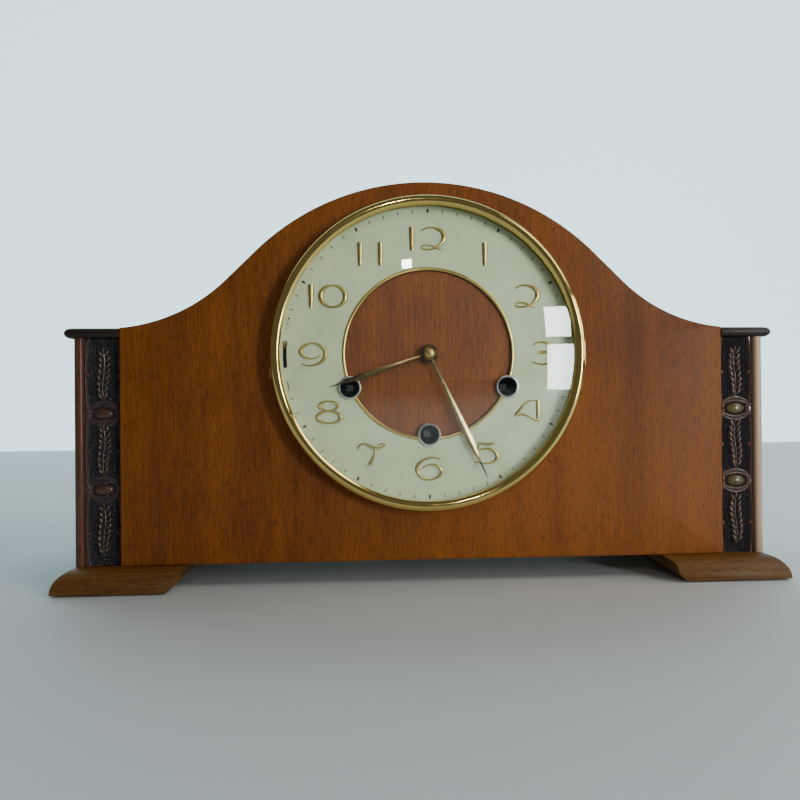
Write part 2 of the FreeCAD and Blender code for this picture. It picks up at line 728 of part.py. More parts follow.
def second_wheel():
    low, high = REAR_GREAT[0] - 1, REAR_GREAT[1] + 1
    pinion = pinion_on(SECOND, SECOND_PINION, GREAT_MODULE, low, high, SECOND_PHASE)
    return fused([arbor(SECOND), pinion, wheel_on(SECOND, SECOND_TEETH, SECOND_MODULE, SECOND_PLANE, 3.5)])


def centre_wheel():
    low, high = SECOND_PLANE[0] - 1, SECOND_PLANE[1] + 1
    pinion = pinion_on(CENTRE, CENTRE_PINION, SECOND_MODULE, low, high, CENTRE_PHASE)
    body = disc(CENTRE, 1.4, FRONT_PLATE[1] + END_SHAKE, BACK_PLATE[0] - END_SHAKE)
    shaft = disc(CENTRE, CENTRE_ARBOR_R - RUNNING, -68.0, BACK_PLATE[1] + 0.3)
    return fused([body, shaft, pinion, wheel_on(CENTRE, CENTRE_TEETH, CENTRE_MODULE, CENTRE_PLANE, 3.5)])


def third_wheel():
    low, high = CENTRE_PLANE[0] - 1, CENTRE_PLANE[1] + 1
    pinion = pinion_on(THIRD, THIRD_PINION, CENTRE_MODULE, low, high, THIRD_PHASE)
    return fused([arbor(THIRD, 1.0), pinion, wheel_on(THIRD, THIRD_TEETH, THIRD_MODULE, THIRD_PLANE, 3.0)])


def escape_wheel():
    """Thirty-two pointed teeth that lean the way the wheel turns, on a pinion."""
    root = ESCAPE_R - 2.6
    pitch = 360.0 / ESCAPE_TEETH
    edges = []
    for i in range(ESCAPE_TEETH):
        mid = pitch * i
        foot_at, tip = point(*polar(ESCAPE, root, mid)), point(*polar(ESCAPE, ESCAPE_R, mid - 0.45 * pitch))
        tip_end = point(*polar(ESCAPE, ESCAPE_R, mid - 0.38 * pitch))
        heel = point(*polar(ESCAPE, root, mid + 0.42 * pitch))
        following = point(*polar(ESCAPE, root, mid + pitch))
        edges += [line(foot_at, tip), line(tip, tip_end), line(tip_end, heel), line(heel, following)]
    toothed_rim = board(Part.Face(Part.Wire(edges)), *ESCAPE_PLANE)
    crossed = crossed_out(toothed_rim, ESCAPE, 2.8, root - 1.2, ESCAPE_PLANE[0], ESCAPE_PLANE[1], 4, 24.0)
    low, high = THIRD_PLANE[0] - 1, THIRD_PLANE[1] + 1
    pinion = pinion_on(ESCAPE, ESCAPE_PINION, THIRD_MODULE, low, high, ESCAPE_PHASE)
    return fused([arbor(ESCAPE, 0.9), pinion, crossed])


def pallets():
    """Anchor with two nibs over the escape wheel, its arbor, and the crutch behind the back plate."""
    y0, y1 = ESCAPE_PLANE[0] - 0.4, ESCAPE_PLANE[1] + 0.4
    nib_gap = 0.65
    spread = 3.75 * 360.0 / ESCAPE_TEETH
    pieces = [arbor(PALLET, 1.0), disc(PALLET, 2.6, y0, y1)]
    for side in (-1, 1):
        nib = polar(ESCAPE, ESCAPE_R + nib_gap, 90 - side * spread)
        shoulder = (side * 8.6, PALLET[1] - 2.6)
        arm = outline((0.0, PALLET[1] + 1.6), [
            (shoulder[0], shoulder[1] + 2.0),
            (nib[0] + side * 2.2, nib[1] + 0.4),
            nib,
            (nib[0] + side * 0.2, nib[1] + 1.6),
            (shoulder[0] - side * 1.8, shoulder[1] - 0.4),
            (0.0, PALLET[1] - 1.6),
        ])
        pieces.append(board(arm, y0, y1))
    crutch_y = (BACK_PLATE[1] + 0.6, BACK_PLATE[1] + 1.8)
    pieces.append(disc(PALLET, PIVOT_R, BACK_PLATE[1], crutch_y[1]))
    pieces.append(disc(PALLET, 2.2, *crutch_y))
    pieces.append(box(-1.1, 1.1, crutch_y[0], crutch_y[1], PALLET[1] - 32, PALLET[1]))
    for side in (-1, 1):
        prong_x = side * (PENDULUM_ROD_R + 0.15 + 0.5)
        low, high = PALLET[1] - 33, PALLET[1] - 30
        pieces.append(box(prong_x - 0.5, prong_x + 0.5, crutch_y[0], PENDULUM_Y + 3, low, high))
    pieces.append(box(-2.4, 2.4, crutch_y[0], crutch_y[1], PALLET[1] - 34, PALLET[1] - 29))
    return fused(pieces)


COCK_Z = PALLET[1] + 2.6


def pendulum():
    """Spring strip, rod, lens-shaped bob and rating nut, hanging from the suspension cock."""
    top, bob_z = COCK_Z - 0.1, PALLET[1] - BOB_DROP
    strip = box(-0.15, 0.15, PENDULUM_Y - 2.5, PENDULUM_Y + 2.5, PALLET[1] - 9, top)
    hook = box(-2.0, 2.0, PENDULUM_Y - 1.8, PENDULUM_Y + 1.8, PALLET[1] - 14, PALLET[1] - 8)
    rod = Part.makeCylinder(PENDULUM_ROD_R, BOB_DROP + 8, Vector(0, PENDULUM_Y, bob_z - 19))
    cone, rim = BOB_R * 0.45, 0.8
    bob = turned((0, bob_z), [
        (0.0, PENDULUM_Y - 3.6), (cone, PENDULUM_Y - 3.2), (BOB_R, PENDULUM_Y - rim),
        (BOB_R, PENDULUM_Y + rim), (cone, PENDULUM_Y + 3.2), (0.0, PENDULUM_Y + 3.6),
    ])
    nut = Part.makeCylinder(3.0, 2.4, Vector(0, PENDULUM_Y, bob_z - 17.5))
    return fused([strip, hook, rod, bob, nut])


def suspension_cock():
    """Riveted bracket that clamps the top of the pendulum's spring strip."""
    return box(-5, 5, BACK_PLATE[1], PENDULUM_Y + 4.5, COCK_Z, PLATE_HIGH_Z)


def cannon_pinion():
    """Tube over the centre arbor: its pinion drives the minute wheel, and it carries the minute hand."""
    tube = ring(CENTRE, CENTRE_ARBOR_R, CANNON_R, MINUTE_HAND_BACK - HUB_THICK, FRONT_PLATE[0] - 0.6)
    low, high = MOTION_PLANE[0] - 0.6, MOTION_PLANE[1] + 0.6
    leaves = pinion_on(CENTRE, CANNON_TEETH, MOTION_MODULE, low, high, 0.0)
    return fused([tube, leaves]).cut(disc(CENTRE, CENTRE_ARBOR_R, -80, -40))


def minute_wheel():
    """Wheel and pinion on a stud of the front plate, between the cannon pinion and the hour wheel."""
    wheel = wheel_on(MINUTE_STUD, MINUTE_TEETH, MOTION_MODULE, MOTION_PLANE, 4.0, MINUTE_PHASE)
    module = motion_reach() * 2 / (MINUTE_PINION + HOUR_TEETH)
    leaves = pinion_on(MINUTE_STUD, MINUTE_PINION, module, HOUR_PLANE[0] - 0.6, MOTION_PLANE[1], 0.0)
    return fused([wheel, leaves]).cut(disc(MINUTE_STUD, STUD_R + RUNNING, -80, -40))


def motion_reach():
    return distance(CENTRE, MINUTE_STUD)


def hour_wheel():
    module = motion_reach() * 2 / (MINUTE_PINION + HOUR_TEETH)
    wheel = toothed(CENTRE, HOUR_TEETH, module, HOUR_PLANE[0], HOUR_PLANE[1], HOUR_PHASE, WHEEL_FORM)
    pipe = disc(CENTRE, HOUR_PIPE_R, HOUR_HAND_BACK - HUB_THICK, HOUR_PLANE[1])
    return fused([wheel, pipe]).cut(disc(CENTRE, CANNON_R + RUNNING, -80, -40))


# ---------------------------------------------------------------- barrels, winding, chime


def barrel(at, great_plane, drum):
    """Spring barrel: a closed drum with the great wheel at one end. It turns on the winding arbor."""
    great = toothed(at, GREAT_TEETH, GREAT_MODULE, great_plane[0], great_plane[1], 0.0, WHEEL_FORM)
    shell = disc(at, DRUM_SHELL_R, drum[0], drum[1])
    hollow = ring(at, WINDING_ARBOR_R + 2.5, DRUM_SHELL_R - 1.2, drum[0] + 1.2, drum[1] - 1.2)
    whole = fused([great, shell]).cut(hollow)
    return whole.cut(disc(at, WINDING_ARBOR_R + RUNNING, -60, 0))


def going_barrel():
    return barrel(GOING, REAR_GREAT, (-40.4, REAR_GREAT[0]))


def strike_barrel():
    return barrel(STRIKE, REAR_GREAT, (-40.4, REAR_GREAT[0]))


def chime_barrel():
    return barrel(CHIME, FRONT_GREAT, (FRONT_GREAT[1], -22.0))


def winding_arbor(at):
    """Barrel arbor with a ratchet wheel outside the front plate and a square end for the key."""
    body = disc(at, WINDING_ARBOR_R, FRONT_PLATE[1] + END_SHAKE, BACK_PLATE[0] - END_SHAKE)
    pivots = disc(at, 2.0, RATCHET_PLANE[0], BACK_PLATE[1] + 0.5)
    half = SQUARE_SIDE / 2
    square = box(at[0] - half, at[0] + half, SQUARE_END, RATCHET_PLANE[1], at[1] - half, at[1] + half)
    square = square.common(disc(at, half * 1.3, SQUARE_END - 1, RATCHET_PLANE[1] + 1))
    edges = []
    pitch = 360.0 / RATCHET_TEETH
    for i in range(RATCHET_TEETH):
        steep = point(*polar(at, RATCHET_R - 1.2, pitch * i))
        tip = point(*polar(at, RATCHET_R, pitch * i))
        following = point(*polar(at, RATCHET_R - 1.2, pitch * (i + 1)))
        edges += [line(steep, tip), line(tip, following)]
    ratchet = board(Part.Face(Part.Wire(edges)), *RATCHET_PLANE)
    return fused([body, pivots, square, ratchet])


def click(name):
    """Pawl on a shouldered screw in the front plate. Its beak stands just clear of the ratchet's tips."""
    at = winding_holes()[name]
    direction = CLICK_DIRECTION[name]
    pivot = click_pivot(name)
    beak = polar(at, RATCHET_R + 0.15, direction + 38)
    beak_out = polar(at, RATCHET_R + 2.2, direction + 36)
    side_out = polar(pivot, 2.3, direction + 20)
    side_in = polar(pivot, 2.3, direction + 150)
    pawl = outline(side_out, [beak_out, beak, side_in])
    body = fused([board(pawl, *RATCHET_PLANE), disc(pivot, 2.4, *RATCHET_PLANE)])
    return body.cut(disc(pivot, CLICK_SCREW_R + RUNNING, -60, -40))


def click_pivot(name):
    return polar(winding_holes()[name], RATCHET_R + 4.4, CLICK_DIRECTION[name])


def chime_drum():
    """Pin drum of the chime: a wheel in mesh with the chime barrel, and a row of pins for each hammer."""
    wheel = toothed(DRUM, DRUM_TEETH, GREAT_MODULE, FRONT_GREAT[0], FRONT_GREAT[1], DRUM_PHASE, WHEEL_FORM)
    pieces = [arbor(DRUM), wheel, disc(DRUM, 7.5, -39.5, -11.5)]
    for row, y in enumerate(HAMMER_YS):
        for i in range(5):
            turn = math.radians(72 * i + 18 * row + 9)
            outwards = Vector(math.cos(turn), 0, math.sin(turn))
            pin = Part.makeCylinder(0.7, PIN_RADIUS, Vector(DRUM[0], y, DRUM[1]), outwards)
            pieces.append(pin)
    return fused(pieces)


def hammer(index):
    """One chime hammer: hub on the hammer arbor, wire arm, head over its rod, and a tail to the drum."""
    y = HAMMER_YS[index]
    hub = disc(HAMMER_PIVOT, 3.0, y - 2.6, y + 2.6)
    reach = distance(HAMMER_PIVOT, HAMMER_HEAD)
    down = bearing(HAMMER_PIVOT, HAMMER_HEAD)
    tail_length = distance(HAMMER_PIVOT, DRUM) - PIN_RADIUS - 1.0
    tail_direction = bearing(HAMMER_PIVOT, DRUM)

    def bar(length, direction, half, thick):
        solid = box(0, length, y - thick, y + thick, -half, half)
        solid.rotate(Vector(0, 0, 0), Vector(0, 1, 0), -direction)
        solid.translate(Vector(HAMMER_PIVOT[0], 0, HAMMER_PIVOT[1]))
        return solid

    head = Part.makeCylinder(3.6, 9.0, Vector(HAMMER_HEAD[0], y, HAMMER_HEAD[1] - 4.5))
    head_slim = head.common(box(80, 120, y - 2.9, y + 2.9, 20, 80))
    pieces = [hub, bar(reach, down, 1.1, 0.9), bar(tail_length, tail_direction, 1.2, 0.7), head_slim]
    return fused(pieces).cut(disc(HAMMER_PIVOT, HAMMER_ARBOR_R + RUNNING, -60, 0))


def gong_block():
    """Cast block screwed to the floor of the case. It holds one end of every rod."""
    body = box(GONG_BLOCK_X[0], GONG_BLOCK_X[1], -44.0, -7.0, CASE_BOTTOM + BASE_THICK, ROD_Z + 9)
    upper = [e for e in body.Edges if abs(e.CenterOfMass.z - ROD_Z - 9) < 1e-6]
    body = body.makeFillet(2.0, upper)
    for y in HAMMER_YS:
        body = body.cut(Part.makeCylinder(ROD_R, 16, Vector(GONG_BLOCK_X[0], y, ROD_Z), Vector(1, 0, 0)))
    return body


def gong_rods():
    """Four steel rods of falling length, thinned where they enter the block."""
    rods = []
    for y, end_x in zip(HAMMER_YS, ROD_ENDS_X):
        length = GONG_BLOCK_X[0] + 16 - end_x
        rods.append(Part.makeCylinder(ROD_R, length, Vector(end_x, y, ROD_Z), Vector(1, 0, 0)))
    return Part.makeCompound(rods)


# ---------------------------------------------------------------- movement frame


def plate(y0, y1, holes):
    solid = box(-PLATE_HALF, PLATE_HALF, y0, y1, PLATE_LOW_Z, PLATE_HIGH_Z)
    corners = [e for e in solid.Edges if abs(e.Length - (y1 - y0)) < 1e-6]
    solid = solid.makeFillet(6.0, corners)
    for at, radius in holes:
        solid = solid.cut(disc(at, radius, y0 - 1, y1 + 1))
    return solid


def shared_holes():
    pivots = [SECOND, THIRD, ESCAPE, PALLET, DRUM]
    holes = [(at, PIVOT_R + RUNNING) for at in pivots]
    holes += [(at, 2.0 + RUNNING) for at in winding_holes().values()]
    holes += [(at, 1.5) for at in PILLARS]
    holes.append((CENTRE, CENTRE_ARBOR_R))
    return holes


def front_plate():
    """Front plate with the minute-wheel stud, the click screws and the hammer arbor riveted in."""
    solid = plate(*FRONT_PLATE, shared_holes())
    stud = disc(MINUTE_STUD, STUD_R, HOUR_PLANE[0] - 1.2, FRONT_PLATE[0])
    collar = disc(MINUTE_STUD, 2.4, MOTION_PLANE[1] + 0.2, FRONT_PLATE[0])
    pieces = [solid, stud, collar]
    for name in winding_holes():
        pivot = click_pivot(name)
        pieces.append(disc(pivot, CLICK_SCREW_R, RATCHET_PLANE[0] - 0.2, FRONT_PLATE[0]))
        pieces.append(disc(pivot, 2.0, RATCHET_PLANE[1] + 0.2, FRONT_PLATE[0]))
    pieces.append(disc(HAMMER_PIVOT, HAMMER_ARBOR_R, FRONT_PLATE[0], BACK_PLATE[0]))
    return fused(pieces)


def back_plate():
    return plate(*BACK_PLATE, shared_holes())


def plate_pillars():
    """Four pillars that space the plates, each with its end nuts."""
    pillars = []
    for at in PILLARS:
        body = disc(at, 3.2, FRONT_PLATE[1], BACK_PLATE[0])
        stud = disc(at, 1.5, FRONT_PLATE[0] - 2.2, BACK_PLATE[1] + 2.2)
        front, back = FRONT_PLATE[0], BACK_PLATE[1]
        nuts = [disc(at, 3.0, front - 1.8, front), disc(at, 3.0, back, back + 1.8)]
        pillars.append(fused([body, stud] + nuts))
    return Part.makeCompound(pillars)


def movement_brackets():
    """Four angle brackets that stand on the floor of the case and carry the two plates."""
    floor = CASE_BOTTOM + BASE_THICK
    brackets = []
    for x in (-44.0, 44.0):
        for y, away in ((FRONT_PLATE[0], -1), (BACK_PLATE[1], 1)):
            leg_y = sorted((y, y + away * 1.6))
            foot_y = sorted((y, y - away * 10.0))
            leg = box(x - 6, x + 6, leg_y[0], leg_y[1], floor, PLATE_LOW_Z + 6)
            foot_part = box(x - 6, x + 6, foot_y[0], foot_y[1], floor, floor + 1.6)
            brackets.append(fused([leg, foot_part]))
    return Part.makeCompound(brackets)


# ---------------------------------------------------------------- back door
def back_door():
    """Plywood door with a fan of sound slots, flush with the back board."""
    door = box(-DOOR_HALF, DOOR_HALF, BOARD_FRONT_OF_BACK, CASE_BACK, DOOR_LOW_Z, DOOR_HIGH_Z)
    half, tall = 3.0, 34.0
    for i in range(-3, 4):
        x, low, high = i * 15.0, 62.0, 62.0 + tall - 3.5 * abs(i)
        slot = outline((x - half, low), [
            (x - half, high),
            ((x, high + half), (x + half, high)),
            (x + half, low),
            ((x, low - half), (x - half, low)),
        ])
        door = door.cut(board(slot, 0, 100))
    return door


def door_hinge_half(moving):
    """Leaves and knuckles of the two butt hinges: the middle knuckle moves, the outer two are fixed."""
    x = -DOOR_HALF - DOOR_GAP
    leaves = []
    for z in HINGE_ZS:
        leaf_x = (x, x + 9) if moving else (x - 9, x)
        pieces = [box(leaf_x[0], leaf_x[1], CASE_BACK, CASE_BACK + 0.8, z - HINGE_HALF, z + HINGE_HALF)]
        spans = [(-3.6, 3.6)] if moving else [(-HINGE_HALF, -3.8), (3.8, HINGE_HALF)]
        clear = [(-HINGE_HALF - 1, -3.6), (3.6, HINGE_HALF + 1)] if moving else [(-3.8, 3.8)]
        for low, high in clear:
            pieces[0] = pieces[0].cut(box(x - 1.9, x + 1.9, 60, 80, z + low, z + high))
        for low, high in spans:
            pieces.append(knuckle(x, DOOR_HINGE_Y, DOOR_KNUCKLE_R, z + low, z + high))
        bore = DOOR_PIN_R + RUNNING if moving else DOOR_PIN_R
        leaf = fused(pieces).cut(knuckle(x, DOOR_HINGE_Y, bore, z - 20, z + 20))
        if not moving:
            half = HINGE_HALF + 0.5
            leaf = leaf.fuse(knuckle(x, DOOR_HINGE_Y, DOOR_PIN_R, z - half, z + half))
        leaves.append(leaf.removeSplitter())
    return Part.makeCompound(leaves)


def door_hinge_leaves():
    return door_hinge_half(True)


def case_hinge_leaves():
    return door_hinge_half(False)


def door_knob():
    """Turned brass knob near the free edge of the door."""
    at = (DOOR_HALF - 12, (DOOR_LOW_Z + DOOR_HIGH_Z) / 2)
    y = CASE_BACK
    neck, ball = 2.2, 4.2
    ball_y = y + 6.6
    foot_part = turned(at, [(0, y), (4.6, y), (4.6, y + 1.0), (neck, y + 2.2), (neck, ball_y), (0, ball_y)])
    return foot_part.fuse(Part.makeSphere(ball, Vector(at[0], ball_y, at[1])))


# ---------------------------------------------------------------- every node
PARTS = {
    "front_panel": front_panel,
    "arch_top": arch_top,
    "base_board": base_board,
    "back_board": back_board,
    "right_side_board": side_board,
    "left_side_board": lambda: mirrored(side_board()),
    "right_cap": cap,
    "left_cap": lambda: mirrored(cap()),
    "right_carved_strip": carved_strip,
    "left_carved_strip": lambda: mirrored(carved_strip()),
    "right_foot": foot,
    "left_foot": lambda: mirrored(foot()),
    "foot_pads": foot_pads,
    "dial_plate": dial_plate,
    "chapter_ring": chapter_ring,
    "chapter_ring_bead": chapter_ring_bead,
    "dial_centre": dial_centre,
    "winding_grommets": winding_grommets,
    "bezel_seat_ring": bezel_seat_ring,
    "bezel_hinge_pin": bezel_hinge_pin,
    "bezel_ring": bezel_ring,
    "dial_glass": dial_glass,
    "silent_lever": silent_lever,
    "minute_hand": minute_hand,
    "hour_hand": hour_hand,
    "hand_nut": hand_nut,
    "cannon_pinion": cannon_pinion,
    "minute_wheel": minute_wheel,
    "hour_wheel": hour_wheel,
    "front_plate": front_plate,
    "back_plate": back_plate,
    "plate_pillars": plate_pillars,
    "movement_brackets": movement_brackets,
    "going_barrel": going_barrel,
    "strike_barrel": strike_barrel,
    "chime_barrel": chime_barrel,
    "second_wheel": second_wheel,
    "centre_wheel": centre_wheel,
    "third_wheel": third_wheel,
    "escape_wheel": escape_wheel,
    "pallets": pallets,
    "pendulum": pendulum,
    "suspension_cock": suspension_cock,
    "chime_drum": chime_drum,
    "gong_block": gong_block,
    "gong_rods": gong_rods,
    "back_door": back_door,
    "door_hinge_leaves": door_hinge_leaves,
    "case_hinge_leaves": case_hinge_leaves,
    "door_knob": door_knob,
}
for train, centre_at in winding_holes().items():
    PARTS[train + "_winding_arbor"] = lambda at=centre_at: winding_arbor(at)
    PARTS[train + "_click"] = lambda name=train: click(name)
for number in range(len(HAMMER_YS)):
    PARTS["chime_hammer_%d" % (number + 1)] = lambda i=number: hammer(i)


def report_layout():
    """Prints the centres and joint data that the record states."""
    for name, at in [("second", SECOND), ("third", THIRD), ("escape", ESCAPE), ("pallet", PALLET),
                     ("minute stud", MINUTE_STUD), ("drum", DRUM), ("going", GOING), ("strike", STRIKE),
                     ("chime", CHIME)] + [(n + " click", click_pivot(n)) for n in winding_holes()]:
        print("%-12s x %.4f z %.4f" % (name, at[0], at[1]))


def main():
    os.makedirs("parts", exist_ok=True)
    for name, make in PARTS.items():
        shape = make()
        solids = shape.Solids
        if not shape.isValid() or not solids:
            print("PROBLEM", name, "valid:", shape.isValid(), "solids:", len(solids))
        shape.exportStep("parts/%s.step" % name)
        print("%-24s %2d solid(s) %10.1f mm3" % (name, len(solids), sum(s.Volume for s in solids)))
    report_layout()


main()
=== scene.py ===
# %% [markdown]
# # A chiming mantel clock in an arched case
#
# The clock is a wooden case on two moulded feet, with a round dial behind domed glass. Its wheels, hinges and
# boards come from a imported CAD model, which fixes every size and every joint. This lesson adds what CAD leaves
# plain: rounded edges, raised numerals, carving, marks on the dial, and all the finishes.
#
# We work in metres, in the frame of the CAD model: Z is up, the dial looks along -Y, and X runs to the reader's
# right. Each new piece rides on a CAD body, so it moves with that body's joint.

# %% Load the CAD model and keep its box
import math

import bmesh
import bpy
import numpy as np
from mathutils import Matrix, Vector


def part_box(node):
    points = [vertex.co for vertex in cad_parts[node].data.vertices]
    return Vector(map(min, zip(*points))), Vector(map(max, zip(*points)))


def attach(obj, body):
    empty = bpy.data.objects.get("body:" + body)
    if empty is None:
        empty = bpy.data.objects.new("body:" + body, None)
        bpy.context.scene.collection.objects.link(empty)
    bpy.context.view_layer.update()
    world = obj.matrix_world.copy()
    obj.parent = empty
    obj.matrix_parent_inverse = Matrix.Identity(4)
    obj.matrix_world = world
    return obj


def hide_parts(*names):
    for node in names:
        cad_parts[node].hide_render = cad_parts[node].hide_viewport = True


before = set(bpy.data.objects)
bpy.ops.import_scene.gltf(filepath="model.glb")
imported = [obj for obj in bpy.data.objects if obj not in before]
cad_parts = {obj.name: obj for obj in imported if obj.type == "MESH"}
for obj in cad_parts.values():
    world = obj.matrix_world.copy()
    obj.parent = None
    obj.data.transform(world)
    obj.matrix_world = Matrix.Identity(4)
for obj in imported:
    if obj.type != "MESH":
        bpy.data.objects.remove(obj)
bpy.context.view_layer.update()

# %% [markdown]
# ## Places that everything else is worked out from
#
# A piece should never hold a copied coordinate when the frame can say it. So we read the boxes of a few CAD nodes
# and name the places that we need: the panel's face, the middle of the dial, and the rest.

# %% Read places from the frame
MM = 0.001

panel_low, panel_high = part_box("front_panel")
dial_low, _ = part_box("chapter_ring")
glass_low, glass_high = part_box("dial_glass")
bezel_low, bezel_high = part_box("bezel_ring")
strip_low, strip_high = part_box("right_carved_strip")

DIAL_X = 0.0
DIAL_Z = (glass_low.z + glass_high.z) / 2
DIAL_FACE = dial_low.y

# The front of the glass is part of a sphere: from its rim's radius and its rise, the sphere's radius follows.
GLASS_RIM = (glass_high.x - glass_low.x) / 2
GLASS_RIM_Y = -71.3 * MM
GLASS_RISE = GLASS_RIM_Y - glass_low.y
GLASS_RADIUS = (GLASS_RIM ** 2 + GLASS_RISE ** 2) / (2 * GLASS_RISE)
GLASS_MIDDLE = np.array([DIAL_X, glass_low.y + GLASS_RADIUS, DIAL_Z])
print("dial centre at z = %.1f mm, dial face at y = %.1f mm" % (DIAL_Z / MM, DIAL_FACE / MM))

# %% [markdown]
# ## Surfaces from grids
#
# Nearly every piece here is a grid of points: rows along one parameter, columns along the other. A vase is a
# profile (rows) turned through angles (columns). A moulding is a profile carried along a path. Once the points are
# in a numpy array, the faces always come from the same rule, so one helper serves them all.


# %% Helpers that turn arrays into pieces
def grid_faces(rows, columns, wrap_rows=False, wrap_columns=False):
    """Quads between neighbouring points of a rows x columns grid. Wrapping joins the last line to the first."""
    i = np.arange(rows if wrap_rows else rows - 1)
    j = np.arange(columns if wrap_columns else columns - 1)
    a, b = (m.ravel() for m in np.meshgrid(i, j, indexing="ij"))
    down, along = (a + 1) % rows, (b + 1) % columns
    corners = [a * columns + b, down * columns + b, down * columns + along, a * columns + along]
    return np.stack(corners, axis=1).tolist()


def capped(rings):
    """Closed rings stacked along the first axis, as one skin with a flat face on the first and on the last."""
    rows, columns = rings.shape[:2]
    ends = [list(range(columns)), list(range((rows - 1) * columns, rows * columns))]
    return rings, grid_faces(rows, columns, wrap_columns=True) + ends


def walled(top, back):
    """A grid of points with straight walls from its edge to the plane y = back, and a flat face there."""
    rows, columns = top.shape[:2]
    index = np.arange(rows * columns).reshape(rows, columns)
    rim = np.concatenate([index[0, :-1], index[:-1, -1], index[-1, :0:-1], index[:0:-1, 0]])
    top = top.reshape(-1, 3)
    start, count = len(top), len(rim)
    following = np.roll(np.arange(count), -1)
    sides = np.stack([rim, rim[following], start + following, start + np.arange(count)], axis=1).tolist()
    points = np.concatenate([top, top[rim] * [1, 0, 1] + [0, back, 0]])
    return points, grid_faces(rows, columns) + sides + [list(range(start, start + count))]


def joined(parts):
    """Several (points, faces) pairs as one pair."""
    points, faces, count = [], [], 0
    for part_points, part_faces in parts:
        flat = np.asarray(part_points, float).reshape(-1, 3)
        points.append(flat)
        faces += [[index + count for index in face] for face in part_faces]
        count += len(flat)
    return np.concatenate(points), faces


def mirrored(shape):
    """The left-hand twin of a right-hand shape."""
    points, faces = shape
    return np.asarray(points, float).reshape(-1, 3) * [-1, 1, 1], faces


def clock_turned(x, y, z, degrees):
    """Points set out towards twelve o'clock from the dial's centre, turned clockwise about it."""
    turn = math.radians(degrees)
    return np.stack([DIAL_X + x * math.cos(turn) + z * math.sin(turn), y,
                     DIAL_Z + z * math.cos(turn) - x * math.sin(turn)], axis=-1)


def make_piece(name, shape, body, slot, material, replaces=(), sharp=38, values=None):
    """A finished piece: welded, faces outwards, smooth except where faces meet at more than sharp degrees.

    values holds one number for each point, which its material can read as the attribute "finish".
    """
    points, faces = shape
    mesh = bpy.data.meshes.new(name)
    mesh.from_pydata(np.asarray(points, float).reshape(-1, 3).tolist(), [], faces)
    if values is not None:
        layer = mesh.attributes.new("finish", "FLOAT", "POINT")
        layer.data.foreach_set("value", np.asarray(values, np.float32).ravel())
    work = bmesh.new()
    work.from_mesh(mesh)
    bmesh.ops.remove_doubles(work, verts=work.verts, dist=1e-7)
    bmesh.ops.recalc_face_normals(work, faces=work.faces)
    work.to_mesh(mesh)
    work.free()
    mesh.shade_smooth()
    mesh.set_sharp_from_angle(angle=math.radians(sharp))
    mesh.materials.append(material)
    piece = bpy.data.objects.new(name, mesh)
    bpy.context.scene.collection.objects.link(piece)
    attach(piece, body)
    if replaces:
        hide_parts(*replaces)
    print("%-26s %6d faces on %s" % (name, len(mesh.polygons), body))
    return piece


def make_pair(thing, shape, slot, node, right_material, left_material=None, **options):
    """A right-hand piece of the case and its mirrored twin, for the CAD nodes right_node and left_node."""
    make_piece("right_" + thing, shape, "case", slot, right_material, ["right_" + node], **options)
    make_piece("left_" + thing, mirrored(shape), "case", slot, left_material or right_material, ["left_" + node],
               **options)


def softened(corners, size, steps=4):
    """A closed outline with each corner rounded: a parabola that starts and ends size away from the corner."""
    here = np.asarray(corners, float)
    sizes = np.broadcast_to(np.asarray(size, float), (len(here),))[:, None]
    back, ahead = np.roll(here, 1, axis=0) - here, np.roll(here, -1, axis=0) - here
    start = here + back / np.linalg.norm(back, axis=1, keepdims=True) * sizes
    end = here + ahead / np.linalg.norm(ahead, axis=1, keepdims=True) * sizes
    t = np.linspace(0, 1, steps)[None, :, None]
    curve = (1 - t) ** 2 * start[:, None] + 2 * t * (1 - t) * here[:, None] + t ** 2 * end[:, None]
    return curve.reshape(-1, here.shape[1])


def turned(profile, centre=(DIAL_X, DIAL_Z), columns=192, arc=None):
    """A closed outline of (radius, y) turned about the line along Y through centre = (x, z).

    A point at radius r and angle a goes to (cx + r cos a, y, cz + r sin a). With arc = (first, last) degrees the
    ring is open there and its two ends are closed with flat faces.
    """
    profile = np.asarray(profile, float)
    if arc is None:
        angles = np.linspace(0, 2 * np.pi, columns, endpoint=False)
    else:
        angles = np.radians(np.linspace(arc[0], arc[1], columns))
    radius, y = profile[:, :1], profile[:, 1:]
    x = centre[0] + radius * np.cos(angles)
    z = centre[1] + radius * np.sin(angles)
    points = np.stack([x, y + 0 * x, z], axis=-1)
    faces = grid_faces(len(profile), len(angles), wrap_rows=True, wrap_columns=arc is None)
    if arc is not None:
        first = [row * len(angles) for row in range(len(profile))]
        faces += [first, [index + len(angles) - 1 for index in first]]
    return points, faces


# %% [markdown]
# ## The camera first
#
# The picture is a near, slightly low view: the lens stands a little left of the dial's centre, level with its
# lower half, about 40 cm from the front. Such a short distance shows in the feet, which seem to spread towards us,
# so the distance matters more than the lens.

# %% Camera
def placed(right, up, back, place):
    """The matrix of an object whose own X, Y and Z axes point right, up and back."""
    columns = [np.append(right, 0), np.append(up, 0), np.append(back, 0), np.append(place, 1)]
    return Matrix(np.column_stack(columns).tolist())


CAMERA_PLACE = np.array([-0.03925, -0.45646, 0.10377])
CAMERA_YAW = 0.0582
CAMERA_PITCH = 0.0029
CAMERA_ROLL = -0.0084

flat = math.cos(CAMERA_PITCH)
ahead = np.array([math.sin(CAMERA_YAW) * flat, math.cos(CAMERA_YAW) * flat, math.sin(CAMERA_PITCH)])
level = np.array([math.cos(CAMERA_YAW), -math.sin(CAMERA_YAW), 0.0])
above = np.cross(level, ahead)
right = level * math.cos(CAMERA_ROLL) + above * math.sin(CAMERA_ROLL)
up = above * math.cos(CAMERA_ROLL) - level * math.sin(CAMERA_ROLL)

